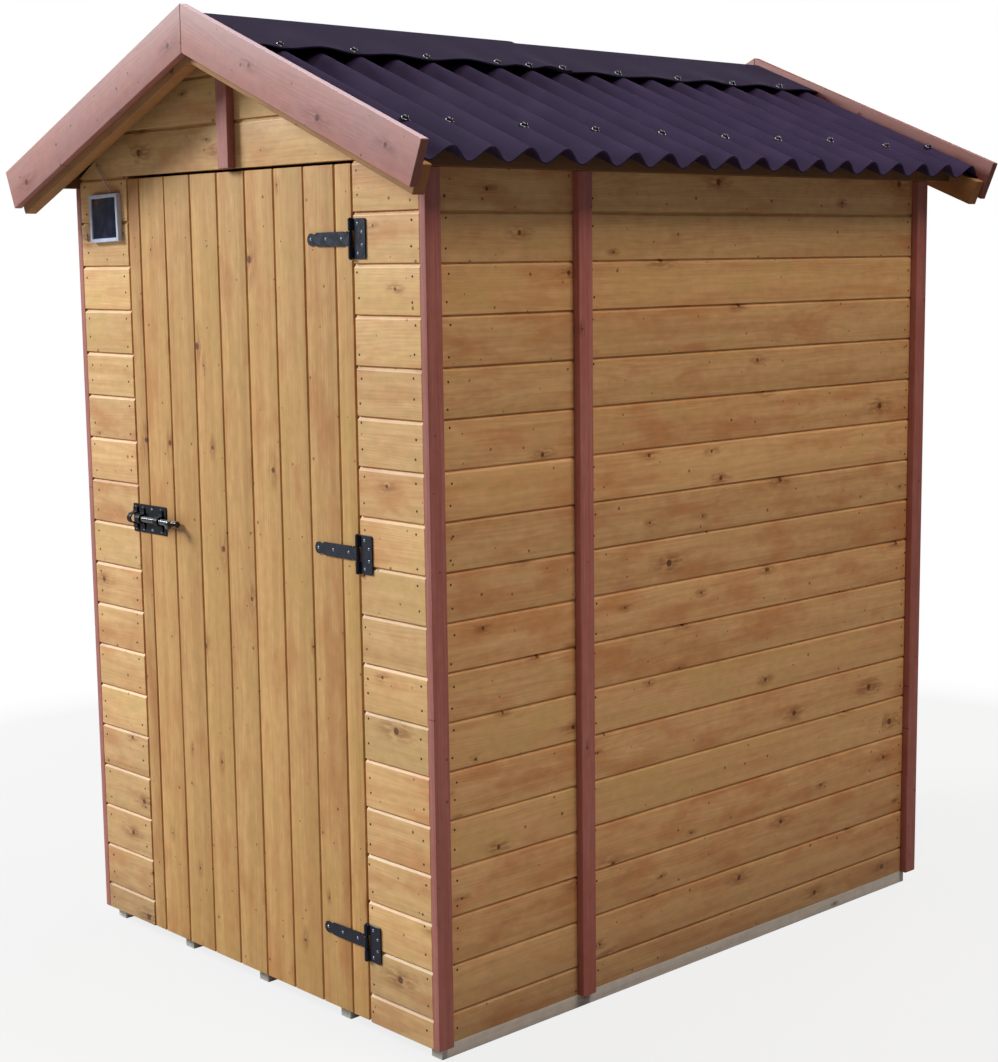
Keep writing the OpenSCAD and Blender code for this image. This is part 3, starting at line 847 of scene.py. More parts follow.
@dataclass(frozen=True)
class MetalFinish(Finish):
    """Painted or plated metal with uneven wear."""

    base: Colour = srgb(12, 10, 16)
    worn: Colour = srgb(30, 28, 38)
    worn_strength: float = 0.3
    metallic: float = 0.0
    specular: float = 0.25
    roughness: float = 0.4
    coat: float = 0.1

    def wire(self, bench: Bench, shader: bpy.types.Node) -> None:
        """Paint or plating, dulled where dust lies.

        Args:
            bench: The material's bench.
            shader: The shader that the colour and the roughness go into.
        """
        wear = DustyWear().place(bench, {"Point": bench.object_point(), "Size": 60.0})["Dust"]
        looks = {
            "Base Color": bench.mix(wear * self.worn_strength, self.base, self.worn),
            "Roughness": wear * 0.25 + self.roughness,
            "Metallic": self.metallic,
            "Specular IOR Level": self.specular,
            "Coat Weight": self.coat,
        }
        bench.feed(shader, looks)


@dataclass(frozen=True)
class CellFinish(Finish):
    """Dark solar cells under glass, with thin silver lines."""

    cell: Colour = srgb(16, 14, 40)
    line: Colour = srgb(120, 130, 150)
    pitch: tuple[float, float] = (0.0265, 0.0105)
    line_share: tuple[float, float] = (0.05, 0.06)

    def wire(self, bench: Bench, shader: bpy.types.Node) -> None:
        """Draws a grid of lines on the piece's own flat coordinates.

        Args:
            bench: The material's bench.
            shader: The shader that the colour goes into.
        """
        across, up, _ = bench.attribute("grain").parts()
        upright = (across / self.pitch[0]).fraction() < self.line_share[0]
        level = (up / self.pitch[1]).fraction() < self.line_share[1]
        dust = DustyWear().place(bench, {"Point": bench.object_point(), "Size": 40.0})["Dust"]
        colour = bench.mix(upright.largest(level) * 0.12, self.cell, self.line)
        looks = {
            "Base Color": bench.mix(dust * 0.15, colour, self.line),
            "Roughness": 0.12,
            "Coat Weight": 1.0,
            "Coat Roughness": 0.03,
        }
        bench.feed(shader, looks)


HONEY = TimberFinish("Honey stained cladding", "pine_cladding", foot_grey_strength=0.22)
DOOR_PINE = TimberFinish(
    "Honey stained door boards",
    "pine_door",
    *colours((208, 158, 98), (172, 114, 58), (180, 112, 58), (190, 146, 80)),
    knot_share=0.36,
)
BARE = TimberFinish(
    "Bare sawn pine",
    "bare_pine",
    *colours((192, 146, 94), (156, 108, 62), (168, 112, 68), (172, 132, 82)),
    end_strength=0.5,
    roughness=0.7,
    coat=0.0,
)
# Darker than bare pine: partly a brown stain, partly painted shade under the bargeboards.
BROWNED_AND_SHADED = TimberFinish(
    "Browned pine with painted shade behind the bargeboards",
    "bare_pine",
    *colours((160, 114, 70), (126, 84, 48), (138, 88, 50), (140, 102, 62)),
    end_strength=0.5,
    roughness=0.75,
    coat=0.0,
)
# Much darker pine for the eave purlins: painted shade in the gap under the sheets.
SHADED = replace(
    BROWNED_AND_SHADED,
    name="Pine darkened as painted shade under the sheets",
    pale=srgb(112, 76, 44),
    deep=srgb(84, 54, 30),
    warm=srgb(94, 58, 34),
    cool=srgb(96, 66, 38),
)
TREATED = TimberFinish(
    "Green treated bearers",
    "treated_timber",
    *colours((224, 216, 206), (192, 182, 170), (204, 188, 172), (204, 202, 190)),
    *colours((118, 102, 88), (150, 136, 120)),
    roughness=0.75,
    coat=0.0,
)
MAHOGANY = TimberFinish(
    "Mahogany stained trim",
    "mahogany_stain",
    *colours((180, 112, 101), (149, 83, 74), (163, 91, 78), (168, 108, 102)),
    *colours((92, 46, 40), (120, 62, 52)),
    ring_strength=0.3,
    streak_strength=0.5,
    knot_share=0.3,
    end_strength=0.5,
)
BARGE = TimberFinish(
    "Mahogany stained bargeboard",
    "mahogany_stain",
    *colours((178, 118, 108), (158, 98, 90), (170, 104, 88), (168, 118, 112)),
    *colours((92, 42, 34), (138, 78, 66)),
    ring_strength=0.08,
    streak_strength=0.12,
    knot_share=0.45,
    end_strength=0.8,
    # Upward faces paled: partly bleaching, partly painted highlight.
    bleach_and_sheen_strength=0.7,
    coat=0.0,
)
# The rear bargeboards get a darker copy of the bargeboard finish: painted shade on the same mahogany stain.
SHADED_REAR_BARGE = replace(
    BARGE,
    name="Mahogany stained rear bargeboard, darkened as painted shade",
    bleach_and_sheen_strength=0.0,
    pale=srgb(140, 84, 74),
    deep=srgb(118, 64, 56),
    warm=srgb(128, 70, 56),
    cool=srgb(130, 82, 76),
)
BITUMEN = SheetFinish("Plum bitumen sheet", "bitumen_sheet")
RIDGE_CAP = SheetFinish("Plum ridge cap", "bitumen_sheet", *colours((33, 22, 47), (47, 36, 62)))
BLACK = MetalFinish(
    "Black painted steel", "black_steel", *colours((20, 20, 35), (45, 48, 74)), specular=0.28
)
DULL_BLACK = MetalFinish(
    "Dull black bolt plates",
    "black_steel",
    *colours((14, 11, 20), (24, 20, 34)),
    specular=0.12,
    roughness=0.45,
    coat=0.12,
)
GLOSSY = MetalFinish("Glossy black bolt", "black_steel", roughness=0.26, coat=0.9)
NAIL = MetalFinish(
    "Dull nail heads", "black_steel", *colours((74, 52, 36), (110, 84, 60)), roughness=0.55, coat=0.0
)
ZINC = MetalFinish(
    "Bright zinc screws",
    "black_steel",
    *colours((150, 154, 162), (100, 104, 112)),
    metallic=0.9,
    roughness=0.3,
    coat=0.0,
)
CAP_NAIL = MetalFinish(
    "Roof nail caps", "bitumen_sheet", *colours((30, 24, 38), (48, 40, 56)), roughness=0.3, coat=0.7
)
PANEL_FRAME = MetalFinish(
    "Pale anodised panel frame",
    "panel_frame",
    *colours((208, 212, 232), (170, 178, 206)),
    metallic=0.2,
    roughness=0.35,
    coat=0.2,
)
PANEL_GLASS = CellFinish("Solar cells under glass", "panel_glass")
# The brown flex is coloured pale as a painted highlight, so that it stays light where it runs in shade.
SHEATH = MetalFinish(
    "Brown twin flex painted pale as highlight", "lead_sheath", *colours((206, 176, 180), (224, 208, 216)), roughness=0.45, coat=0.2
)


# ---- levels shared by the sub-assemblies ----


@dataclass(frozen=True)
class Levels:
    """Faces and heights of the shed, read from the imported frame."""

    half_w: float
    half_d: float
    clad_z: float
    head_z: float
    in_w: float
    in_d: float
    way_half: float
    floor_z: float
    ridge_foot: float
    wave_foot: float
    roof_half_w: float
    barge_top: float
    roof_end: float
    barge_in: float
    rafter_in: float
    hinge_z: tuple[float, float, float]
    pitch: float = math.radians(22.5)
    board_h: float = 0.096
    foot_board_h: float = 0.062
    board_t: float = 0.019
    stud: float = 0.040
    hinge_half: float = 0.0395
    seat: float = 0.0003

    @property
    def slope(self) -> float:
        """Fall of the roof for each metre across."""
        return math.tan(self.pitch)

    @property
    def up(self) -> float:
        """Height for each metre square to the slope."""
        return 1 / math.cos(self.pitch)

    def joint(self, j: int) -> float:
        """Height of the joint over the foot board and over each board above it."""
        return self.clad_z + self.foot_board_h + j * self.board_h

    @classmethod
    def from_frame(cls) -> "Levels":
        """Reads the levels from the boxes of the nodes.

        Returns:
            The levels, with the hinges at the foot, at the height of the bolt and at the head.
        """
        seat = cls.seat
        wall, side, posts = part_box("front_wall_left"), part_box("right_wall"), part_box("corner_posts")
        ridge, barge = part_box("ridge_purlin"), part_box("barge_front_right")
        hinge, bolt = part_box("hinge_plates"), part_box("bolt_plate")
        return cls(
            half_w=side[1].x,
            half_d=-wall[0].y,
            clad_z=wall[0].z,
            head_z=wall[1].z,
            in_w=posts[1].x,
            in_d=posts[1].y,
            way_half=-wall[1].x,
            floor_z=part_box("floor")[1].z,
            ridge_foot=ridge[0].z - seat,
            wave_foot=ridge[1].z + seat,
            roof_half_w=barge[1].x,
            barge_top=barge[1].z + seat * math.tan(cls.pitch),
            roof_end=-barge[0].y,
            barge_in=-barge[1].y,
            rafter_in=-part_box("rafters_front")[1].y,
            hinge_z=(
                hinge[0].z + cls.hinge_half,
                (bolt[0].z + bolt[1].z) / 2,
                hinge[1].z - cls.hinge_half,
            ),
        )


@dataclass
class SubAssembly:
    """A group of pieces that one class sizes, builds and dresses."""

    levels: Levels
    rng: Draws

    def piece(
        self,
        surface: Surface,
        name: str,
        finish: Finish,
        body: Body = Body.SHED,
        node: str | None = None,
        sharp: float = 32.0,
    ) -> bpy.types.Object:
        """Makes one piece, dresses it and hangs it on its body.

        Args:
            surface: Its points and faces.
            name: Its name.
            finish: Its finish.
            body: The body that it rides on.
            node: The node that it stands for, if it stands for one.
            sharp: Angle in degrees past which an edge stays sharp.

        Returns:
            The new object.
        """
        made = surface.make(name, sharp)
        finish.dress(made)
        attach(made, body.value)
        if node:
            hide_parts(node)
        LOG.info("%s: %d faces, on %s", name, len(surface.faces), body.value)
        return made

    def part(
        self, surface: Surface, name: str, finish: Finish, body: Body = Body.SHED, sharp: float = 32.0
    ) -> bpy.types.Object:
        """Makes the piece that stands for the node of the same name."""
        return self.piece(surface, name, finish, body, name, sharp)

    def block(self, surface: Surface, spans: Spans, axis: int, radius: float = 0.0015) -> None:
        """Adds one timber with rounded edges that fills a box, with its grain along one axis.

        The wider of its other two sides is the one that the knots show on; of two that
        differ by less than about 10 mm, it is the upright one.

        Args:
            surface: The surface it is added to.
            spans: Its lowest and highest X, Y and Z.
            axis: 0, 1 or 2 for grain along X, Y or Z.
            radius: Radius of its edges.
        """
        low, high = np.array(spans).T
        middle, size = (low + high) / 2, high - low
        sides = ((axis + 1) % 3, (axis + 2) % 3)
        thin, wide = sorted(sides, key=lambda side: (round(size[side] / 0.01), side))
        along, across = np.eye(3)[axis], np.eye(3)[wide]
        place = Place(middle - along * size[axis] / 2, along, across, np.cross(along, across))
        outline = rectangle(size[wide], size[thin], radius)
        surface.extrude(outline, place, 0.0, size[axis], sawn(self.rng))

    def timbers(
        self, name: str, finish: Finish, boxes: list[Spans], axis: int, radius: float = 0.0015
    ) -> None:
        """Makes the piece that stands for a node of straight timbers.

        Args:
            name: Name of the piece and of the node.
            finish: Its finish.
            boxes: Lowest and highest X, Y and Z of each timber.
            axis: 0, 1 or 2 for grain along X, Y or Z.
            radius: Radius of the timbers' edges.
        """
        surface = Surface()
        for spans in boxes:
            self.block(surface, spans, axis, radius)
        self.part(surface, name, finish)

    def on_front(self, x: float, z: float) -> Place:
        """A place on the face of the front wall: along is forwards, across right and out up."""
        return Place(np.array([x, -self.levels.half_d, z]), -Y, X, Z)

    def plate(
        self, surface: Surface, outline: Array, x: float, z: float, thick: float, edge: float
    ) -> None:
        """Adds a flat plate on the face of the front wall.

        Args:
            surface: The surface it is added to.
            outline: Its outline about (x, z).
            x: Where it stands.
            z: Height at which it stands.
            thick: Its thickness.
            edge: Size of the chamfer round its front.
        """
        surface.extrude(outline, self.on_front(x, z), 0.0, thick, chamfer=(0.0, edge))

    def nails(self, name: str, spots: Array, out: Array, radius: float, body: Body = Body.SHED) -> None:
        """Sets round nail heads: a shank under a low dome.

        Args:
            name: Name of the piece.
            spots: Where they go, on the face of the timber.
            out: The direction they face.
            radius: Radius of a head.
            body: The body that they ride on.
        """
        head = np.array([[0, -1.0], [1, -1.0], [1, 0.0], [0.8, 0.16], [0, 0.22]])
        surface = Surface()
        surface.turned(head * (radius, 0.001), spots, out, 8)
        self.piece(surface, name, NAIL, body)

    def screws(self, name: str, head: Array, spots: list, body: Body) -> None:
        """Drives screws with a cross pressed into each head.

        Args:
            name: Name of the piece.
            head: Outline of a head, as (radius, height).
            spots: Where they go, on the front of the steel.
            body: The body that they ride on.
        """
        surface = Surface()
        surface.turned(head, np.array(spots), -Y, 16, 0.0008)
        self.piece(surface, name, ZINC, body)


@dataclass
class Base(SubAssembly):
    """Bearers on the ground, and the boarded floor on them."""

    bearers: int = 5
    bearer_w: float = 0.032
    bearer_setback: float = 0.022
    floor_board_w: float = 0.110
    floor_gap: float = 0.0001

    def build(self) -> None:
        """Builds the bearers and the floor."""
        lv = self.levels
        reach, w, gap = lv.half_d - self.bearer_setback, self.bearer_w, self.floor_gap
        firsts = np.linspace(-lv.half_w, lv.half_w - w, self.bearers)
        bearers = [((x, x + w), (-reach, reach), (0.0, lv.clad_z)) for x in firsts]
        self.timbers("bearers", TREATED, bearers, 1)
        edges = np.append(np.arange(-lv.in_d, lv.in_d, self.floor_board_w), lv.in_d)
        across, level = (-lv.in_w, lv.in_w), (lv.clad_z, lv.floor_z)
        boards = [(across, (y0 + gap, y1 - gap), level) for y0, y1 in zip(edges[:-1], edges[1:])]
        self.timbers("floor", BARE, boards, 0, 0.0012)


@dataclass
class Framing(SubAssembly):
    """Posts, studs, rails, jambs and the header inside the cladding."""

    mid_stud: float = 0.407

    def rails(self, name: str, z: float) -> None:
        """Makes the rails at one level: at the sides, beside the doorway and at the back.

        Args:
            name: Name of the piece and of the node.
            z: Height of their feet.
        """
        lv = self.levels
        s, w, d, g = lv.stud, lv.in_w, lv.in_d, lv.seat
        level = (z, z + s)
        surface = Surface()
        for side, _ in SIDES:
            self.block(surface, (pair(side, w - s, w), (s - d + g, d - s - g), level), 1)
            short = pair(side, lv.way_half + s + g, w - s - g)
            self.block(surface, (short, (-d, s - d), level), 0)
        self.block(surface, ((s - w + g, w - s - g), (d - s, d), level), 0)
        self.part(surface, name, BARE)

    def build(self) -> None:
        """Builds each part of the frame as its own piece."""
        lv = self.levels
        s, w, d, foot, head = lv.stud, lv.in_w, lv.in_d, lv.floor_z, lv.head_z
        front, back, both = (-d, s - d), (d - s, d), (-1, 1)
        posts = [(pair(a, w, w - s), pair(b, d, d - s), (foot, head)) for a in both for b in both]
        self.timbers("corner_posts", BARE, posts, 2)
        mid = self.mid_stud - lv.half_d
        spots = [(side * (w - s / 2), y) for side in both for y in (mid, (mid + d) / 2)]
        spots.append((0.0, d - s / 2))
        studs = [((x - s / 2, x + s / 2), (y - s / 2, y + s / 2), (foot + s, head - s)) for x, y in spots]
        self.timbers("wall_studs", BARE, studs, 2)
        self.rails("sole_rails", foot)
        self.rails("top_rails", head - s)
        jamb = lv.way_half + s
        jambs = [(pair(side, lv.way_half, jamb), front, (foot, head)) for side in both]
        self.timbers("door_jambs", BARE, jambs, 2)
        self.timbers("door_header", BARE, [((-jamb, jamb), front, (head, head + s))], 0)
        middle = (-s / 2, s / 2)
        gables = [(middle, front, (head + s, lv.ridge_foot))]
        gables.append((middle, back, (head + lv.seat, lv.ridge_foot)))
        self.timbers("gable_studs", BARE, gables, 2)


@dataclass
class Cladding(SubAssembly):
    """Bevelled boards laid one on another, with their nails."""

    boards_up: int = 17
    groove: float = 0.005
    gap: float = 0.002
    bevel: float = 0.008
    step: float = 0.055
    stray_top: float = 0.0008
    stray_foot: float = 0.0005
    bow: float = 0.0003
    end_edge: float = 0.0008
    apex_gap: float = 0.002
    nail_r: float = 0.0024
    nail_missed: float = 0.12
    nail_stray: tuple[float, float] = (0.003, 0.07)
    side_rows: tuple[float, float, float] = (0.065, 0.45, 0.048)
    front_in: float = 0.02
    way_in: tuple[float, float] = (0.02, 0.012)
    back_in: float = 0.06

    def outline(self, height: float, topped: bool = True) -> Array:
        """Section of one board: a square foot, a bevelled top and a tongue.

        Args:
            height: Height of the board.
            topped: False for a board with a plain top.

        Returns:
            Its points as (height, out).
        """
        t, g, top, fold = self.levels.board_t, self.groove, height - 0.0001, height - self.bevel
        if not topped:
            return rounded(np.array([[0, -t], [height, -t], [height, 0], [0, 0]]), 0.001)
        tongue = [[0, -t], [top, -t], [top, -g], [height - self.gap, -g]]
        face = [[fold + 0.001, -0.0006], [fold, 0], [0, 0]]
        return rounded(np.array(tongue + face), mm(0.8, 0.3, 0.3, 0.5, 0.5, 1.0, 1.5))

    def board(
        self,
        surface: Surface,
        place: Place,
        starts: Array | float,
        ends: Array | float,
        outline: Array,
        timber: Timber,
    ) -> None:
        """Lays one board, whose bevel and foot edge wander a little along its length.

        Args:
            surface: The surface it is added to.
            place: Where its section stands.
            starts: Distance along at which each point of the section starts.
            ends: Distance along at which each point of the section ends.
            outline: The section.
            timber: The timber it is sawn from.
        """
        length = float(np.max(ends) - np.min(starts))
        steps = max(2, round(length / self.step))
        along = np.linspace(0, length, steps + 1)
        height, out = outline[:, 0], outline[:, 1]
        on_top = (height > height.max() - 0.011) & (out > -self.groove * 0.9)
        at_foot = (height < 0.004) & (out > -0.004)
        shift = np.zeros((steps + 1, len(outline), 2))
        shift[..., 0] = self.stray_top * slow_wave(along, self.rng)[:, None] * on_top
        shift[..., 0] += self.stray_foot * np.abs(slow_wave(along, self.rng))[:, None] * at_foot
        shift[..., 1] = self.bow * (slow_wave(along, self.rng)[:, None] - 1) * (out > -0.001)
        chamfer = (self.end_edge, self.end_edge)
        surface.extrude(outline, place, starts, ends, timber, chamfer, steps, shift)

    def courses(self) -> list[tuple[float, float]]:
        """Foot and top of each board between the ground and the door head."""
        tops = [self.levels.joint(j) for j in range(self.boards_up + 1)]
        return list(zip([self.levels.clad_z] + tops[:-1], tops))

    def wall(self, surface: Surface, x: float, y: float, out: Array, length: float) -> None:
        """Adds one straight wall of boards up to the door head.

        Args:
            surface: The surface it is added to.
            x: Where the boards start, on the left of someone who faces the wall.
            y: The same along Y.
            out: The direction that the wall faces.
            length: Length of the boards.
        """
        for z0, z1 in self.courses():
            timber = sawn(self.rng, middle=(z1 - z0) / 2)
            place = Place(np.array([x, y, z0]), np.cross(Z, out), Z, out)
            self.board(surface, place, 0.0, length, self.outline(z1 - z0), timber)

    def reach(self, z: Array, low: float = 0.0) -> Array:
        """Half the width of a gable at a height: the roof line, no wider than the walls."""
        lv = self.levels
        return np.clip((lv.wave_foot - self.apex_gap - z) / lv.slope, low + 0.0005, lv.half_w)

    def gable(self, surface: Surface, out: Array) -> None:
        """Adds the boards of one gable, cut along the roof, the top ones round the ridge.

        Args:
            surface: The surface they are added to.
            out: The direction that the gable faces.
        """
        lv = self.levels
        apex = lv.wave_foot - self.apex_gap
        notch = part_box("ridge_purlin")[1].x + lv.seat
        j = self.boards_up
        while lv.joint(j) < apex:
            z0, z1 = lv.joint(j), min(lv.joint(j + 1), apex)
            outline = self.outline(z1 - z0, z1 < apex)
            timber = sawn(self.rng, middle=(z1 - z0) / 2)
            place = Place(lv.half_d * out + z0 * Z, np.cross(Z, out), Z, out)
            if z1 < apex:
                half = self.reach(z0 + outline[:, 0])
                self.board(surface, place, -half, half, outline, timber)
            else:
                half = self.reach(z0 + outline[:, 0], notch)
                self.board(surface, place, -half, -notch, outline, timber)
                self.board(surface, place, np.full(len(half), notch), half, outline, timber)
            j += 1

    def nail_row(self, name: str, places: list[float], out: Array) -> None:
        """Nails a wall: two nails in each board at each place, a little out of line.

        Args:
            name: Name of the piece.
            places: Distances along X or Y at which the boards are nailed.
            out: The direction that the wall faces.
        """
        across = np.abs(np.cross(Z, out))
        face = out * (self.levels.half_w, self.levels.half_d, 0.0)
        spots = []
        for z0, z1 in self.courses():
            for at in places:
                for share in [0.25, 0.75] if z1 - z0 > 0.08 else [0.45]:
                    if self.rng.uniform() < self.nail_missed:
                        continue
                    u = at + self.rng.normal(0, self.nail_stray[0])
                    z = z0 + (z1 - z0) * (share + self.rng.normal(0, self.nail_stray[1]))
                    spots.append(face + u * across + z * Z)
        self.nails(name, np.array(spots), out, self.nail_r)

    def build(self) -> None:
        """Builds the walls, the gables and their nails."""
        lv = self.levels
        w, d, way = lv.half_w, lv.half_d, lv.way_half
        for name, x, y, out, length in (
            ("front_wall_left", -w, -d, -Y, w - way),
            ("front_wall_right", way, -d, -Y, w - way),
            ("front_gable", 0.0, -d, -Y, None),
            ("right_wall", w, -lv.in_d, X, 2 * lv.in_d),
            ("left_wall", -w, lv.in_d, -X, 2 * lv.in_d),
            ("back_wall", w, d, Y, 2 * w),
        ):
            surface = Surface()
            if length:
                self.wall(surface, x, y, out, length)
            if name in ("front_gable", "back_wall"):
                self.gable(surface, out)
            self.part(surface, name, HONEY)
        first, middle, last = self.side_rows
        rows = [first - d, middle - d, d - last]
        self.nail_row("nails_right", rows, X)
        self.nail_row("nails_left", rows, -X)
        (left, right), corner = self.way_in, w - self.front_in
        self.nail_row("nails_front", [-corner, -way - left, way + right, corner], -Y)
        self.nail_row("nails_back", [-w + self.back_in, 0.0, w - self.back_in], Y)


@dataclass
class Trims(SubAssembly):
    """Upright mahogany trims on the corners, the walls and the gables."""

    trim_t: float = 0.018
    trim_w: float = 0.038
    mid_end: float = 0.432
    edge_r: float = 0.0022

    def build(self) -> None:
        """Builds the trims of both sides and both gables."""
        d, w = self.levels.half_d, self.trim_w
        for _, side in SIDES:
            low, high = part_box(f"trims_{side}")
            x, z = (low.x, high.x), (low.z, high.z)
            trims = [(x, (y - w, y), z) for y in (w - d, self.mid_end - d, d)]
            self.timbers(f"trims_{side}", MAHOGANY, trims, 2, self.edge_r)
        low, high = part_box("gable_trims")
        x, z = (low.x, high.x), (low.z, high.z)
        gables = [(x, pair(side, d, d + self.trim_t), z) for side, _ in SIDES]
        self.timbers("gable_trims", MAHOGANY, gables, 2, self.edge_r)


@dataclass
class RoofTimbers(SubAssembly):
    """Purlins, rafters and bargeboards."""

    barge_w: float = 0.088
    rafter_drop: float = 0.018
    rafter_short: float = 0.026
    mitre_gap: float = 0.0007

    def slope_timber(
        self, surface: Surface, top: float, foot: float, end_x: float, y: tuple[float, float], side: int
    ) -> None:
        """Adds one timber on a slope, cut plumb at the ridge and square at its foot.

        The section runs across the slope and along Y; each point starts at the distance
        down the slope at which the plumb line of the ridge crosses it.

        Args:
            surface: The surface it is added to.
            top: Height of its upper edge at the ridge.
            foot: Height of its lower edge at the ridge.
            end_x: Distance of its foot from the ridge line.
            y: Where it lies along Y, the lower first.
            side: -1 for the left slope, 1 for the right one.
        """
        lv = self.levels
        c, n = math.cos(lv.pitch), math.sin(lv.pitch)
        depth = (top - foot) * c
        outline = rectangle(depth, y[1] - y[0], 0.0018, (depth / 2, 0.0))
        down, under = np.array([side * c, 0, -n]), np.array([-side * n, 0, -c])
        place = Place(np.array([0, sum(y) / 2, top]), down, under, Y)
        starts = outline[:, 0] * lv.slope + self.mitre_gap * lv.up
        timber = sawn(self.rng, 0.06)
        surface.extrude(outline, place, starts, end_x * lv.up, timber, (0.0004, 0.0015), 2)

    def purlin(self, surface: Surface, corners: list[tuple[float, float]]) -> None:
        """Adds one purlin along Y.

        Args:
            surface: The surface it is added to.
            corners: Its section, as (x, z) corners.
        """
        reach = self.levels.rafter_in - self.levels.seat
        outline = rounded(np.array(corners), 0.0012)
        timber = sawn(self.rng)
        timber.shift[1:] -= outline.mean(0)
        surface.extrude(outline, Place(reach * Y, -Y, X, Z), 0.0, 2 * reach, timber)

    def build(self) -> None:
        """Builds the purlins, the rafters and the four bargeboards."""
        lv = self.levels
        foot = lv.barge_top - self.barge_w * lv.up
        half, top = lv.roof_half_w, lv.wave_foot - lv.seat
        for end, sign, finish in (("front", -1, BARGE), ("rear", 1, SHADED_REAR_BARGE)):
            rafters = Surface()
            for side, hand in SIDES:
                board = Surface()
                y = pair(sign, lv.barge_in, lv.roof_end)
                self.slope_timber(board, lv.barge_top, foot, half, y, side)
                self.part(board, f"barge_{end}_{hand}", finish)
                y = pair(sign, lv.rafter_in, lv.barge_in)
                reach = half - self.rafter_short
                self.slope_timber(rafters, top, foot - self.rafter_drop, reach, y, side)
            self.part(rafters, f"rafters_{end}", BROWNED_AND_SHADED)
        low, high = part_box("eave_purlins")
        eaves = Surface()
        inner = [(lv.half_w + lv.seat, low.z), (high.x, low.z)]
        corners = inner + [(x, top - x * lv.slope) for x, _ in inner[::-1]]
        self.purlin(eaves, [(-x, z) for x, z in corners[::-1]])
        self.purlin(eaves, corners)
        self.part(eaves, "eave_purlins", SHADED)
        low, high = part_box("ridge_purlin")
        ridge = Surface()
        foot_z, shoulder = low.z, top - high.x * lv.slope
        corners = [(-high.x, foot_z), (high.x, foot_z), (high.x, shoulder), (0, top), (-high.x, shoulder)]
        self.purlin(ridge, corners)
        self.part(ridge, "ridge_purlin", BARE)


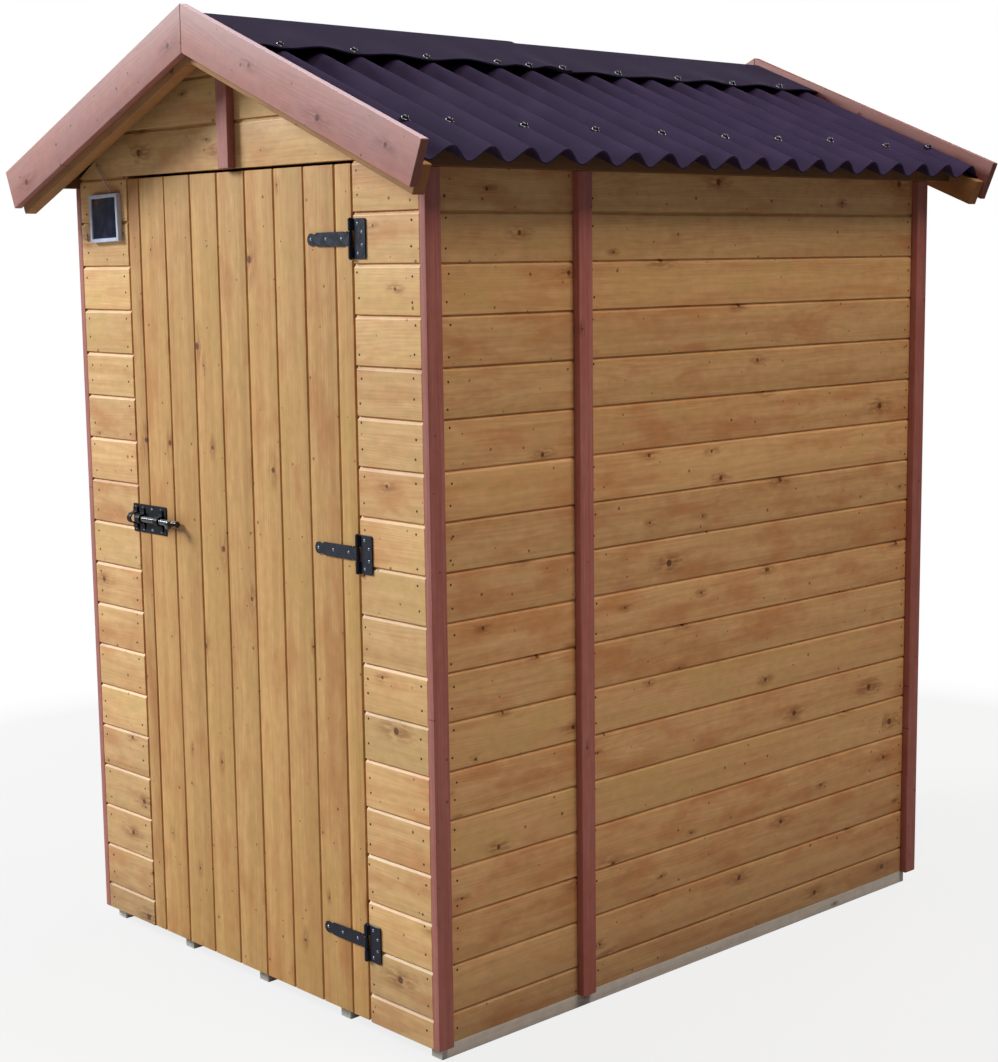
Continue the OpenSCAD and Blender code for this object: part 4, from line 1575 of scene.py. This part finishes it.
@dataclass
class RoofCovering(SubAssembly):
    """Corrugated sheets, the nailed ridge cap and the cap nails."""

    wave_pitch: float = 0.095
    waves: int = 18
    wave_h: float = 0.031
    sheet_t: float = 0.003
    crest_lead: float = 0.008
    ridge_clear: float = 0.003
    eave_inset: float = 0.042
    wave_steps: int = 22
    rows_down: int = 13
    ragged: float = 0.0009
    sag: float = 0.0007
    settle: float = 0.0004
    cap_w: float = 0.222
    cap_r: float = 0.040
    cap_split: tuple[float, float] = (-0.085, -0.005)
    cap_over: float = 0.0032
    cap_rise: float = 0.008
    cap_step: float = 0.008
    arc_points: int = 13
    wing_points: int = 10
    ridge_nailed: tuple[int, ...] = (0, 2, 4, 6, 7, 8, 10, 12, 14, 16)
    ridge_nail_at: float = 0.207
    ridge_stray: tuple[float, float] = (0.006, 0.002)
    eave_nail_at: float = 0.60
    eave_stray: tuple[float, float] = (0.005, 0.006)
    nail_r: float = 0.0095
    nail_h: float = 0.0085

    @property
    def crest(self) -> float:
        """Height of the plane over the crests, at the ridge line."""
        return self.levels.wave_foot + self.wave_h * self.levels.up

    def turn(self, y: Array) -> Array:
        """Angle of the wave at y, a whole turn from one crest to the next."""
        return 2 * np.pi * (y + self.levels.half_d + self.crest_lead) / self.wave_pitch

    def on_slope(self, side: int, s: Array, y: Array, h: Array | float) -> Array:
        """Points on the sheets.

        Args:
            side: -1 for the left slope, 1 for the right one.
            s: Distances down the slope.
            y: Places along the ridge.
            h: Heights square to the slope.

        Returns:
            The points, along the last axis.
        """
        lv = self.levels
        c, n = math.cos(lv.pitch), math.sin(lv.pitch)
        x = self.ridge_clear + s * c + h * n
        z = lv.wave_foot - self.ridge_clear * lv.slope - s * n + h * c
        return np.stack(np.broadcast_arrays(side * x, y, z), -1)

    def sheet(self, side: int) -> Surface:
        """Makes one slope of sheet.

        Its middle is a cosine from crest to crest, carried down the slope, with a slow sag
        and a slightly ragged eave; its faces lie half a thickness off, square to the wave.

        Args:
            side: -1 for the left slope, 1 for the right one.

        Returns:
            The sheet.
        """
        lv = self.levels
        reach = lv.barge_in - lv.seat
        length = (lv.roof_half_w - self.eave_inset - self.ridge_clear) * lv.up
        steps = round(2 * reach / self.wave_pitch * self.wave_steps)
        y = np.linspace(-reach, reach, steps + 1)[None, :]
        s = np.linspace(0, 1, self.rows_down)[:, None] ** 0.8
        down = s * (length + self.ragged * (slow_wave(y, self.rng, 0.3) - 1))
        rise, turn = self.wave_h - self.sheet_t, self.turn(y)
        middle = rise * (1 + np.cos(turn)) / 2 + self.sheet_t / 2
        middle = middle + (self.sag * slow_wave(y, self.rng, 0.8) - self.settle) * s
        half = self.sheet_t / 2 / np.cos(np.arctan(np.pi * rise / self.wave_pitch * np.sin(turn)))
        faces = [self.on_slope(side, down, y, middle + lift) for lift in (half, -half)]
        surface = Surface()
        surface.sheet(*faces, flip=side < 0)
        return surface

    def cap_lift(self, y: Array, nails: Array) -> Array:
        """How far a wing of the cap stands off the crests.

        Args:
            y: Places along the ridge.
            nails: Where the cap is nailed.

        Returns:
            The lift: nothing at the nails, and a sine squared between them.
        """
        k = np.clip(np.searchsorted(nails, y) - 1, 0, len(nails) - 2)
        t = np.clip((y - nails[k]) / np.diff(nails)[k], 0, 1)
        high = self.rng.uniform(0.35, 1.0, len(nails))[k]
        return self.cap_rise * high * np.sin(np.pi * t) ** 2

    def cap_face(self, grow: float) -> Array:
        """One face of the cap: an arc over the ridge, and a straight wing on each side.

        Args:
            grow: How far the face lies outside the inner one.

        Returns:
            Its points (x, z) from left to right: a wing, the arc and the other wing.
        """
        lv = self.levels
        r, wing = self.cap_r, self.cap_w - self.cap_r * lv.slope
        turn = np.linspace(-1, 1, self.arc_points) * lv.pitch
        arc = np.stack([np.sin(turn), np.cos(turn)], 1) * (r + grow)
        arc[:, 1] += self.crest + (lv.seat - r) * lv.up
        down = np.linspace(0, wing, self.wing_points + 1)[1:, None]
        fall = down * (math.cos(lv.pitch), -math.sin(lv.pitch))
        return np.concatenate([arc[0] + fall[::-1] * (-1, 1), arc, arc[-1] + fall])

    def cap(self, y0: float, y1: float, nails: Array, over: float) -> Surface:
        """Makes one length of ridge cap.

        Each wing is lifted between the nails, by the lift at its station times out^1.7,
        where out goes from 0 at the arc to 1 at the wing's edge.

        Args:
            y0: Where it starts along Y.
            y1: Where it ends.
            nails: Where it is nailed.
            over: How far it lies over the other length.

        Returns:
            The cap.
        """
        steps = int((y1 - y0) / self.cap_step + 0.5)
        y = np.linspace(y0, y1, steps + 1)[:, None]
        out = np.linspace(0, 1, self.wing_points + 1)[1:]
        share = np.concatenate([out[::-1], np.zeros(self.arc_points), out]) ** 1.7
        left = np.arange(len(share)) < len(share) / 2
        lifts = [self.cap_lift(y[:, 0], nails)[:, None] for _ in SIDES]
        lift = np.where(left, *lifts) * share + over
        lean = math.sin(self.levels.pitch) * np.where(left, -1, 1) * (share > 0)
        faces = []
        for grow in (self.sheet_t, 0.0):
            x, z = self.cap_face(grow).T
            faces.append(np.stack(np.broadcast_arrays(x + lift * lean, y, z + lift), -1))
        surface = Surface()
        surface.sheet(*faces)
        return surface

    def cap_nails(self, name: str, spots: Array, side: int) -> None:
        """Drives domed cap nails square to a slope: a skirt, a neck and a round top.

        Args:
            name: Name of the piece.
            spots: Where they go.
            side: -1 for the left slope, 1 for the right one.
        """
        pitch = self.levels.pitch
        skirt = [[0, 0], [1.0, 0], [1.05, 0.1], [0.98, 0.2], [0.8, 0.28], [0.75, 0.5]]
        dome = [[0.66, 0.75], [0.45, 0.92], [0.2, 1.0], [0, 1.02]]
        shape = np.array(skirt + dome) * (self.nail_r, self.nail_h)
        surface = Surface()
        surface.turned(shape, spots, np.array([side * math.sin(pitch), 0, math.cos(pitch)]), 14)
        self.piece(surface, name, CAP_NAIL)

    def build(self) -> None:
        """Builds both sheets, the two lengths of cap and the rows of nails."""
        lv = self.levels
        for side, hand in SIDES:
            self.part(self.sheet(side), f"roof_sheet_{hand}", BITUMEN, sharp=60)
        crests = self.wave_pitch * np.arange(self.waves) - lv.half_d - self.crest_lead
        reach = lv.barge_in - lv.seat
        along = crests[list(self.ridge_nailed)]
        along = along + self.rng.normal(0, self.ridge_stray[0], len(along))
        stops = np.concatenate([[-reach - 0.02], along, [reach + 0.02]])
        rear = self.cap(self.cap_split[0], reach, stops, 0.0)
        front = self.cap(-reach, self.cap_split[1], stops, self.cap_over)
        self.piece(rear, "ridge_cap_rear", RIDGE_CAP, sharp=60)
        self.piece(front, "ridge_cap_front", RIDGE_CAP, node="ridge_cap", sharp=60)
        c, n = math.cos(lv.pitch), math.sin(lv.pitch)
        eave_rows = np.append(0, np.arange(1, self.waves, 2))
        for side, hand in SIDES:
            y = crests[eave_rows] + self.rng.normal(0, self.eave_stray[0], len(eave_rows))
            s = self.eave_nail_at + self.rng.normal(0, self.eave_stray[1], len(eave_rows))
            eave = self.on_slope(side, s, y, self.wave_h - 0.001)
            at = self.ridge_nail_at + self.rng.normal(0, self.ridge_stray[1], len(along))
            lift = self.sheet_t + self.cap_over * (along < 0)
            ridge = np.stack([side * (at * c + lift * n), along, self.crest - at * n + lift * c], -1)
            self.cap_nails(f"roof_nails_{hand}", np.concatenate([eave, ridge]), side)


@dataclass
class Door(SubAssembly):
    """Boards of the door and the ledges behind them."""

    cut_w: float = 0.043
    board_w: float = 0.097
    board_t: float = 0.014
    groove: float = 0.005
    ledge_half: float = 0.045
    nail_r: float = 0.0015
    board_steps: int = 26
    stray: float = 0.0007
    bow: float = 0.0003
    end_edge: float = 0.0012
    nail_share: tuple[float, float] = (0.2, 0.8)
    nail_stray: tuple[float, float] = (-0.03, 0.03)
    mark: tuple[float, float] = (0.03, -0.006)

    def edges(self) -> list[float]:
        """Where the boards start and end.

        Returns:
            The edges of the whole boards and of the cut one at each side.
        """
        low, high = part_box("door_boards")
        found = [low.x, low.x + self.cut_w]
        while found[-1] + self.board_w < high.x:
            found.append(found[-1] + self.board_w)
        return found + [high.x]

    def board(self, surface: Surface, x0: float, x1: float, left: bool, right: bool) -> None:
        """Adds one upright board, grooved where it meets the next one.

        Args:
            surface: The surface it is added to.
            x0: Its left edge.
            x1: Its right edge.
            left: True where a board lies to its left.
            right: True where a board lies to its right.
        """
        low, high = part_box("door_boards")
        g, t, w, height = self.groove, self.board_t, x1 - x0, high.z - low.z
        points, radii = [(0.0001, -t), (w - 0.0001, -t)], [0.4, 0.4]
        lip = [(0.0001, -g), (0.0010, -g), (0.0028, 0)]
        points += [(w - x, y) for x, y in lip] if right else [(w, 0)]
        radii += [0.2, 0.2, 1.2] if right else [1.5]
        points += lip[::-1] if left else [(0, 0)]
        radii += [1.2, 0.2, 0.2] if left else [1.5]
        outline = rounded(np.array(points), mm(*radii))
        along = np.linspace(0, height, self.board_steps + 1)
        front = outline[:, 1] > -0.003
        sideways, outwards = (slow_wave(along, self.rng)[:, None] for _ in range(2))
        shift = np.stack([self.stray * sideways * front, self.bow * (outwards - 1) * front], -1)
        place = Place(np.array([x0, -self.levels.half_d, low.z]), Z, X, -Y)
        timber, chamfer = sawn(self.rng, middle=w / 2), (self.end_edge, self.end_edge)
        surface.extrude(outline, place, 0.0, height, timber, chamfer, self.board_steps, shift)

    def build(self) -> None:
        """Builds the boards, the ledges and the nails through both."""
        lv, edges = self.levels, self.edges()
        pairs = list(zip(edges[:-1], edges[1:]))
        boards = Surface()
        for x0, x1 in pairs:
            self.board(boards, x0, x1, x0 > edges[0], x1 < edges[-1])
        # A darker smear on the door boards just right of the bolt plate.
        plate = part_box("bolt_plate")[1]
        mark = (plate.x + self.mark[0], lv.hinge_z[1] + self.mark[1])
        self.part(boards, "door_boards", replace(DOOR_PINE, smear_at=mark), Body.DOOR)
        low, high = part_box("door_ledges")
        ledges, spots = Surface(), []
        for z in lv.hinge_z:
            spans = ((low.x, high.x), (low.y, high.y), (z - self.ledge_half, z + self.ledge_half))
            self.block(ledges, spans, 0, 0.003)
            for x0, x1 in pairs:
                x = x0 + (x1 - x0) * self.rng.uniform(*self.nail_share)
                spots.append((x, -lv.half_d, z + self.rng.uniform(*self.nail_stray)))
        self.part(ledges, "door_ledges", BARE, Body.DOOR)
        self.nails("door_nails", np.array(spots), -Y, self.nail_r, Body.DOOR)


@dataclass
class Hinges(SubAssembly):
    """Three T-hinges: a plate on the wall, a strap on the door and rolled knuckles."""

    steel: float = 0.0025
    edge: float = 0.0006
    plate_w: float = 0.041
    plate_h: float = 0.076
    strap_l: float = 0.136
    strap_w: float = 0.028
    tip_r: float = 0.0115
    neck: float = 0.0095
    barrel_r: float = 0.0045
    pin_r: float = 0.0025
    pin_over: float = 0.0015
    gap: float = 0.0005
    web_w: float = 0.0085
    web_at: float = 0.0025
    plate_screws: tuple = ((0.019, 0.028), (0.032, 0.012))
    strap_screws: tuple[float, ...] = (0.030, 0.078, 0.125)
    head: tuple = ((0, -1), (1, -1), (1, 0.25), (0.9, 0.62), (0.72, 0.85), (0.55, 0.95), (0.25, 1), (0, 1))
    head_size: tuple[float, float] = (0.0032, 0.0013)

    def strap_outline(self) -> Array:
        """Outline of a strap.

        Returns:
            Its points (across, up) from the pin, clockwise: a tongue, a body with a notch
            near the pin, a neck and a round lobe, the same above and below.
        """
        tip, lobe = self.tip_r, self.tip_r - self.strap_l
        neck = math.asin(self.neck / tip)
        turn = np.linspace(neck, 2 * np.pi - neck, 23)
        round_tip = np.stack([lobe + tip * np.cos(turn), tip * np.sin(turn)], 1)
        notch = mm([-12, 14], [-16.3, 13.4], [-18, 10.6], [-22, 10.6], [-23.8, 13.4])
        upper = np.concatenate([notch, [[lobe + 0.0155, 0.0125], [lobe + 0.0135, self.neck]]])
        tongue = mm([-12, -9], [0, -9], [0, 9], [-12, 9])
        return np.concatenate([upper, round_tip, upper[::-1] * (1, -1), tongue])

    def rod(self, surface: Surface, radius: float, sides: int, foot: Array, length: float) -> None:
        """Adds an upright rod from its foot, with a small chamfer at both ends."""
        surface.extrude(circle(radius, sides), Place(foot, Z, X, Y), 0.0, length, chamfer=(0.0007, 0.0007))

    def hinge(self, plates: Surface, straps: Surface, pin: Array) -> None:
        """Adds one hinge: its plate, its strap, three knuckles and the pin through them.

        Args:
            plates: The surface of the plates, their knuckles and the pins.
            straps: The surface of the straps and their knuckles.
            pin: Middle of the pin.
        """
        x, z, w, h = pin[0], pin[2], self.plate_w, self.plate_h / 2
        side = self.strap_w / 2 + 2 * self.gap
        outer = h - side
        corners = [[0, -h], [w, -h], [w, h], [0, h], [0, side], [0.0075, side], [0.0075, -side], [0, -side]]
        outline = rounded(np.array(corners), mm(1, 4, 4, 1, 0.8, 0.8, 0.8, 0.8))
        self.plate(plates, outline, x, z, self.steel, self.edge)
        self.plate(straps, self.strap_outline()[::-1], x, z, self.steel, self.edge)
        for low in (-h, side):
            self.rod(plates, self.barrel_r, 28, pin + low * Z, outer)
            web = rectangle(self.web_w, outer, 0.0004)
            place = self.on_front(x + self.web_at, z + low + outer / 2)
            plates.extrude(web, place, 0.0, self.barrel_r, chamfer=(0.0001, 0.0004))
        foot = pin + (2 * self.gap - side) * Z
        self.rod(straps, self.barrel_r, 28, foot, self.strap_w - 2 * self.gap)
        reach = h + self.pin_over
        rod, place = circle(self.pin_r, 24), Place(pin - reach * Z, Z, X, Y)
        plates.extrude(rod, place, 0.0, 2 * reach, chamfer=(0.0008, 0.0008))

    def build(self) -> None:
        """Builds the plates, straps, knuckles, pins and screws of the three hinges."""
        face = -self.levels.half_d
        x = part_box("hinge_straps")[0].x + self.strap_l
        plates, straps = Surface(), Surface()
        plate_spots, strap_spots = [], []
        y = face - self.steel
        for z in self.levels.hinge_z:
            self.hinge(plates, straps, np.array([x, face - self.barrel_r - 0.0005, z]))
            plate_spots += [(x + at, y, z + s * up) for at, up in self.plate_screws for s in (-1, 1)]
            strap_spots += [(x - at, y, z) for at in self.strap_screws]
        self.part(plates, "hinge_plates", BLACK)
        self.part(straps, "hinge_straps", BLACK, Body.DOOR)
        head = np.array(self.head) * self.head_size
        self.screws("hinge_plate_screws", head, plate_spots, Body.SHED)
        self.screws("hinge_strap_screws", head, strap_spots, Body.DOOR)


@dataclass
class Bolt(SubAssembly):
    """Sliding bolt: a plate with two guides, a rod with a knob, and a keep on the wall."""

    plate_t: float = 0.002
    plate_edge: float = 0.0005
    strap_t: float = 0.0025
    strap_w: float = 0.016
    strap_span: float = 0.047
    rod_r: float = 0.007
    rod_gap: float = 0.001
    knob_r: float = 0.009
    guide_gap: float = 0.0005
    keep_gap: float = 0.0024
    screw_in: float = 0.008
    guides_in: tuple[float, float] = (0.014, 0.020)
    head: tuple = ((0, -1), (1, -1), (1, 0.25), (0.9, 0.62), (0.6, 0.9), (0.25, 1), (0, 1))
    head_size: tuple[float, float] = (0.0034, 0.0014)

    def arch(self, radius: float, foot: float) -> Array:
        """One side of a strap, from the end of one foot over the rod to the other end.

        Args:
            radius: Radius of its half round.
            foot: Height of its feet over the plate.

        Returns:
            Its points (up, out): a foot, a bend into the leg, the half round, and back.
        """
        turn = np.linspace(0, np.pi, 17)
        centre = self.rod_gap + self.rod_r
        over = np.stack([-radius * np.cos(turn), centre + radius * np.sin(turn)], 1)
        end = [self.strap_span / 2, foot]
        bend = [[radius + 0.005, foot], [radius + 0.0015, foot + 0.0012], [radius, foot + 0.004]]
        leg = np.array([end] + bend)
        return np.concatenate([leg * (-1, 1), over, leg[::-1]])

    def strapped_plate(self, name: str, gap: float, body: Body, at: tuple[float, ...], z: float) -> None:
        """Makes the plate or the keep: a flat plate with straps bent over the rod.

        Args:
            name: Name of the piece and of its node.
            gap: Gap between the rod and the straps.
            body: The body that it rides on.
            at: Where the straps stand along X.
            z: Height of the rod.
        """
        low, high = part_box(name)
        surface, size = Surface(), high.x - low.x
        outline = rectangle(size, high.z - low.z, 0.003, (size / 2, 0.0))
        self.plate(surface, outline, low.x, z, self.plate_t, self.plate_edge)
        inner = self.rod_r + gap
        inside, outside = self.arch(inner, 0.0), self.arch(inner + self.strap_t, self.strap_t)
        outline = np.concatenate([inside, outside[::-1]])
        for x in at:
            foot = np.array([x - self.strap_w / 2, -self.levels.half_d - self.plate_t, z])
            place = Place(foot, X, Z, -Y)
            surface.extrude(outline, place, 0.0, self.strap_w, chamfer=(0.0005, 0.0005))
        self.part(surface, name, DULL_BLACK, body)

    def rod(self, z: float) -> None:
        """Makes the rod with its knob, a turned outline that stands out of the rod's end.

        Args:
            z: Height of the rod.
        """
        low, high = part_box("bolt_rod")
        y = -self.levels.half_d - self.plate_t - self.rod_gap - self.rod_r
        knob_x = high.x - self.knob_r
        surface = Surface()
        place = Place(np.array([low.x, y, z]), X, Y, Z)
        length = knob_x + self.rod_r - low.x
        surface.extrude(circle(self.rod_r, 32), place, 0.0, length, chamfer=(0.002, 0.001))
        stem = [[0, 0], [4, 0], [4, 13], [4.6, 13.8], [6.4, 14.4]]
        ball = [[8.4, 16.5], [9, 18.5], [9, 21], [8.6, 22.8], [7.2, 24.2], [4.5, 24.9], [0, 25]]
        surface.turned(mm(*stem, *ball), np.array([[knob_x, y, z]]), -Y, 28)
        self.part(surface, "bolt_rod", GLOSSY, Body.BOLT)

    def build(self) -> None:
        """Builds the plate, the keep, the rod and their screws."""
        low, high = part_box("bolt_plate")
        keep_low, keep_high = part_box("bolt_keep")
        z, half = (low.z + high.z) / 2, (high.z - low.z) / 2
        guides = (low.x + self.guides_in[0], high.x - self.guides_in[1])
        middle = (keep_low.x + keep_high.x) / 2
        self.strapped_plate("bolt_plate", self.guide_gap, Body.DOOR, guides, z)
        self.strapped_plate("bolt_keep", self.keep_gap, Body.SHED, (middle,), z)
        self.rod(z)
        y, reach = -self.levels.half_d - self.plate_t, half - self.screw_in
        head = np.array(self.head) * self.head_size
        columns = (*guides, sum(guides) / 2)
        for name, body, xs in (
            ("bolt_plate_screws", Body.DOOR, columns),
            ("bolt_keep_screws", Body.SHED, (middle,)),
        ):
            self.screws(name, head, [(x, y, z + s * reach) for x in xs for s in (-1, 1)], body)


@dataclass
class SolarPanel(SubAssembly):
    """Small solar panel with a raised frame, its glass and its lead."""

    width: float = 0.114
    height: float = 0.104
    depth: float = 0.011
    back_t: float = 0.003
    rim: float = 0.008
    turn: float = math.radians(1.5)
    lead_r: float = 0.0018
    lead_sides: int = 20
    lead: tuple = (
        *((25, -6, -34.4), (24.5, -6, -31), (22, -6, -27), (16.5, -6, -21), (9.5, -6, -14.5)),
        *((1.5, -5.8, -7.5), (-6.5, -5.5, -0.5), (-13.5, -5.2, 6.5), (-20.5, -5, 13.5)),
        *((-26.5, -4.6, 20), (-31.5, -3.6, 25.5), (-35, -1.6, 29.2), (-36.6, 1, 30.3)),
        *((-37, 5, 30.5), (-37, 10, 30.5), (-37, 15, 30.5)),
    )

    def centre(self) -> Array:
        """Middle of the panel's back, on the face of the wall."""
        low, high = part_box("solar_frame")
        return np.array([(low.x + high.x) / 2, -self.levels.half_d, (low.z + high.z) / 2])

    def route(self) -> Array:
        """Points of the lead: a smooth curve through its chosen points.

        Between two points it is the cubic that leaves each along the line through its
        neighbours.

        Returns:
            The points, four for each step from one chosen point to the next.
        """
        chosen = mm(*self.lead) + (self.centre()[0], -self.levels.half_d, self.levels.head_z)
        before, after = 2 * chosen[:1] - chosen[1:2], 2 * chosen[-1:] - chosen[-2:-1]
        padded = np.concatenate([before, chosen, after])[:, None]
        p0, p1, p2, p3 = padded[:-3], padded[1:-2], padded[2:-1], padded[3:]
        t = np.linspace(0, 1, 5)[None, :-1, None]
        curve = 2 * p1 + (p2 - p0) * t + (2 * p0 - 5 * p1 + 4 * p2 - p3) * t**2
        curve = (curve + (3 * p1 - p0 - 3 * p2 + p3) * t**3) / 2
        return np.concatenate([curve.reshape(-1, 3), chosen[-1:]])

    def build_lead(self) -> None:
        """The section is a circle drawn in a little at its waist, as on flat twin flex.
        """
        path = self.route()
        way = unit(np.gradient(path, axis=0))
        u = unit(np.cross(way, np.array([0.0, -1.0, 0.35])))
        v = np.cross(way, u)
        full = circle(1.0, self.lead_sides)
        ring = self.lead_r * (0.84 + 0.16 * full[:, :1] ** 2) * full
        points = path[:, None] + ring[None, :, :1] * u[:, None] + ring[None, :, 1:] * v[:, None]
        n, k, cap = len(path), self.lead_sides, triangles(ring)
        surface = Surface()
        surface.add(points.reshape(-1, 3), [walls(n, k), cap[:, ::-1], cap + (n - 1) * k])
        lead = self.part(surface, "solar_lead", SHEATH)

    def build(self) -> None:
        """Builds the frame, a back with four raised rails, and the glass between them."""
        c, s = math.cos(self.turn), math.sin(self.turn)
        place = Place(self.centre(), -Y, np.array([c, 0, s]), np.array([-s, 0, c]))
        w, h, r = self.width / 2, self.height / 2, self.rim
        pane_w, pane_h = 2 * (w - r), 2 * (h - r)
        casing = Surface()
        back = rectangle(2 * w, 2 * h, 0.002)
        casing.extrude(back, place, 0.0, self.back_t, chamfer=(0.0003, 0.0003))
        rails = [(r, 2 * h, (side * (w - r / 2), 0.0), 0.0) for side in (-1, 1)]
        rails += [(pane_w - 0.0004, r, (0.0, side * (h - r / 2)), 0.0002) for side in (-1, 1)]
        for wide, high, middle, lower in rails:
            rail = rectangle(wide, high, 0.0012, middle)
            casing.extrude(rail, place, self.back_t, self.depth - lower, chamfer=(0.0, 0.0008))
        self.part(casing, "solar_frame", PANEL_FRAME)
        pane = rectangle(pane_w - 0.0008, pane_h - 0.0008, 0.0008)
        rings = np.stack([pane, pane, inset(pane, 0.0004)])
        k, cap = len(pane), triangles(pane)
        depths = np.repeat(mm(3.2, 7.6, 8.0)[:, None], k, 1)
        points = place.at(depths, rings[..., 0], rings[..., 1]).reshape(-1, 3)
        cells = np.concatenate([rings + (w, h), np.zeros((3, k, 1))], -1).reshape(-1, 3)
        faces = [walls(3, k), cap[:, ::-1], cap + 2 * k]
        glass = Surface()
        glass.add(points, faces, cells, flip=not place.handed())
        self.part(glass, "solar_glass", PANEL_GLASS)


# ---- studio ----


@dataclass(frozen=True)
class Lamp:
    """One soft square light: where it hangs, the point it faces, its side, watts and colour."""

    name: str
    spot: tuple[float, float, float]
    aim: tuple[float, float, float]
    size: float
    power: float
    colour: tuple[float, float, float]

    def hang(self) -> None:
        """Hangs the light and turns it to its aim."""
        data = bpy.data.lights.new(self.name, "AREA")
        data.shape = "SQUARE"
        data.size = self.size
        data.energy = self.power
        data.color = self.colour
        lamp = linked(self.name, data)
        lamp.location = self.spot
        away = Vector(self.aim) - Vector(self.spot)
        lamp.rotation_euler = away.to_track_quat("-Z", "Y").to_euler()


@dataclass
class Studio:
    """Camera, lights, world and floor."""

    eye: tuple[float, float, float] = (3.2338, -3.0572, 1.5386)
    right: tuple[float, float, float] = (0.68219, 0.73108, -0.01224)
    forward: tuple[float, float, float] = (-0.72488, 0.67402, -0.14226)
    lens: float = 64.62
    floor_size: float = 40.0
    floor_colour: Colour = (0.38, 0.37, 0.36, 1.0)
    floor_fade: tuple[float, float] = (1.3, 2.9)
    floor_veil: float = 0.82
    dusk: Colour = (0.088, 0.092, 0.104, 1.0)
    lamps: tuple[Lamp, ...] = (
        Lamp("key_light", (-7.4, -5.9, 6.2), (0, -0.6, 1.1), 3.6, 1630.0, (0.9, 1.0, 1.03)),
        Lamp("side_light", (3.4, 0.3, 6.0), (0.5, 0.1, 1.0), 2.2, 186.0, (1.0, 0.88, 0.77)),
        Lamp("top_light", (0.3, 0.2, 6.4), (0, 0, 0), 2.4, 110.0, (0.94, 0.96, 1.0)),
        Lamp("rear_light", (-1.6, 6.0, 2.6), (0, 0.7, 0.9), 2.6, 110.0, (1.0, 0.97, 0.92)),
    )

    def set_camera(self) -> None:
        """Sets the camera at the eye, looking forward."""
        forward, right = Vector(self.forward).normalized(), Vector(self.right).normalized()
        turn = Matrix((right, right.cross(forward), -forward)).transposed().to_4x4()
        data = bpy.data.cameras.new("camera")
        data.lens = self.lens
        data.sensor_width = 36.0
        data.clip_end = 200.0
        camera = linked("camera", data)
        camera.matrix_world = Matrix.Translation(Vector(self.eye)) @ turn
        bpy.context.scene.camera = camera

    def light_world(self) -> None:
        """A plain world, white where the camera sees it and grey where it lights."""
        world = bpy.data.worlds.new("world")
        bpy.context.scene.world = world
        world.use_nodes = True
        bench = Bench(world.node_tree)
        camera, glass = (
            bench.get(f"Is {kind} Ray", "ShaderNodeLightPath") for kind in ("Camera", "Transmission")
        )
        colour = bench.mix(camera.largest(glass), self.dusk, (1.0, 1.0, 1.0, 1.0))
        bench.feed(world.node_tree.nodes["Background"], {"Color": colour, "Strength": 1.0})

    def lay_floor(self) -> None:
        """A pale floor that keeps the shadow near the shed and fades to white far off."""
        half = self.floor_size / 2
        mesh = bpy.data.meshes.new("studio_floor")
        corners = [(-half, -half, 0), (half, -half, 0), (half, half, 0), (-half, half, 0)]
        mesh.from_pydata(corners, [], [(0, 1, 2, 3)])
        floor = linked("studio_floor", mesh)
        material = bpy.data.materials.new("Pale studio floor")
        material.use_nodes = True
        bench, nodes = Bench(material.node_tree), material.node_tree.nodes
        shader = nodes["Principled BSDF"]
        bench.feed(shader, {"Base Color": self.floor_colour, "Roughness": 0.9})
        veil = bench.object_point().length().ease(*self.floor_fade).largest(self.floor_veil)
        share = veil * bench.get("Is Camera Ray", "ShaderNodeLightPath")
        glow = bench.get(0, "ShaderNodeEmission", {"Strength": 1.0})
        blend = bench.get(0, "ShaderNodeMixShader", {0: share, 1: Wire(bench, shader.outputs[0]), 2: glow})
        bench.feed(nodes["Material Output"], {"Surface": blend})
        mesh.materials.append(material)

    def light(self) -> None:
        """Hangs the lamps, lights the world and lays the floor."""
        for lamp in self.lamps:
            lamp.hang()
        self.light_world()
        self.lay_floor()


def main() -> None:
    """Builds the studio and each sub-assembly in order, each with its own draws."""
    logging.basicConfig(level=logging.INFO, format="%(name)s: %(message)s")
    bpy.context.scene.view_settings.view_transform = "Standard"
    levels = Levels.from_frame()
    studio = Studio()
    studio.set_camera()
    panel = SolarPanel(levels, np.random.default_rng(SEED))
    panel.build_lead()
    makers = (Base, Framing, Cladding, Trims, RoofTimbers, RoofCovering, Door, Hinges, Bolt)
    for n, maker in enumerate(makers, 1):
        maker(levels, np.random.default_rng(SEED + n)).build()
    panel.build()
    studio.light()


if __name__ == "__main__":
    main()
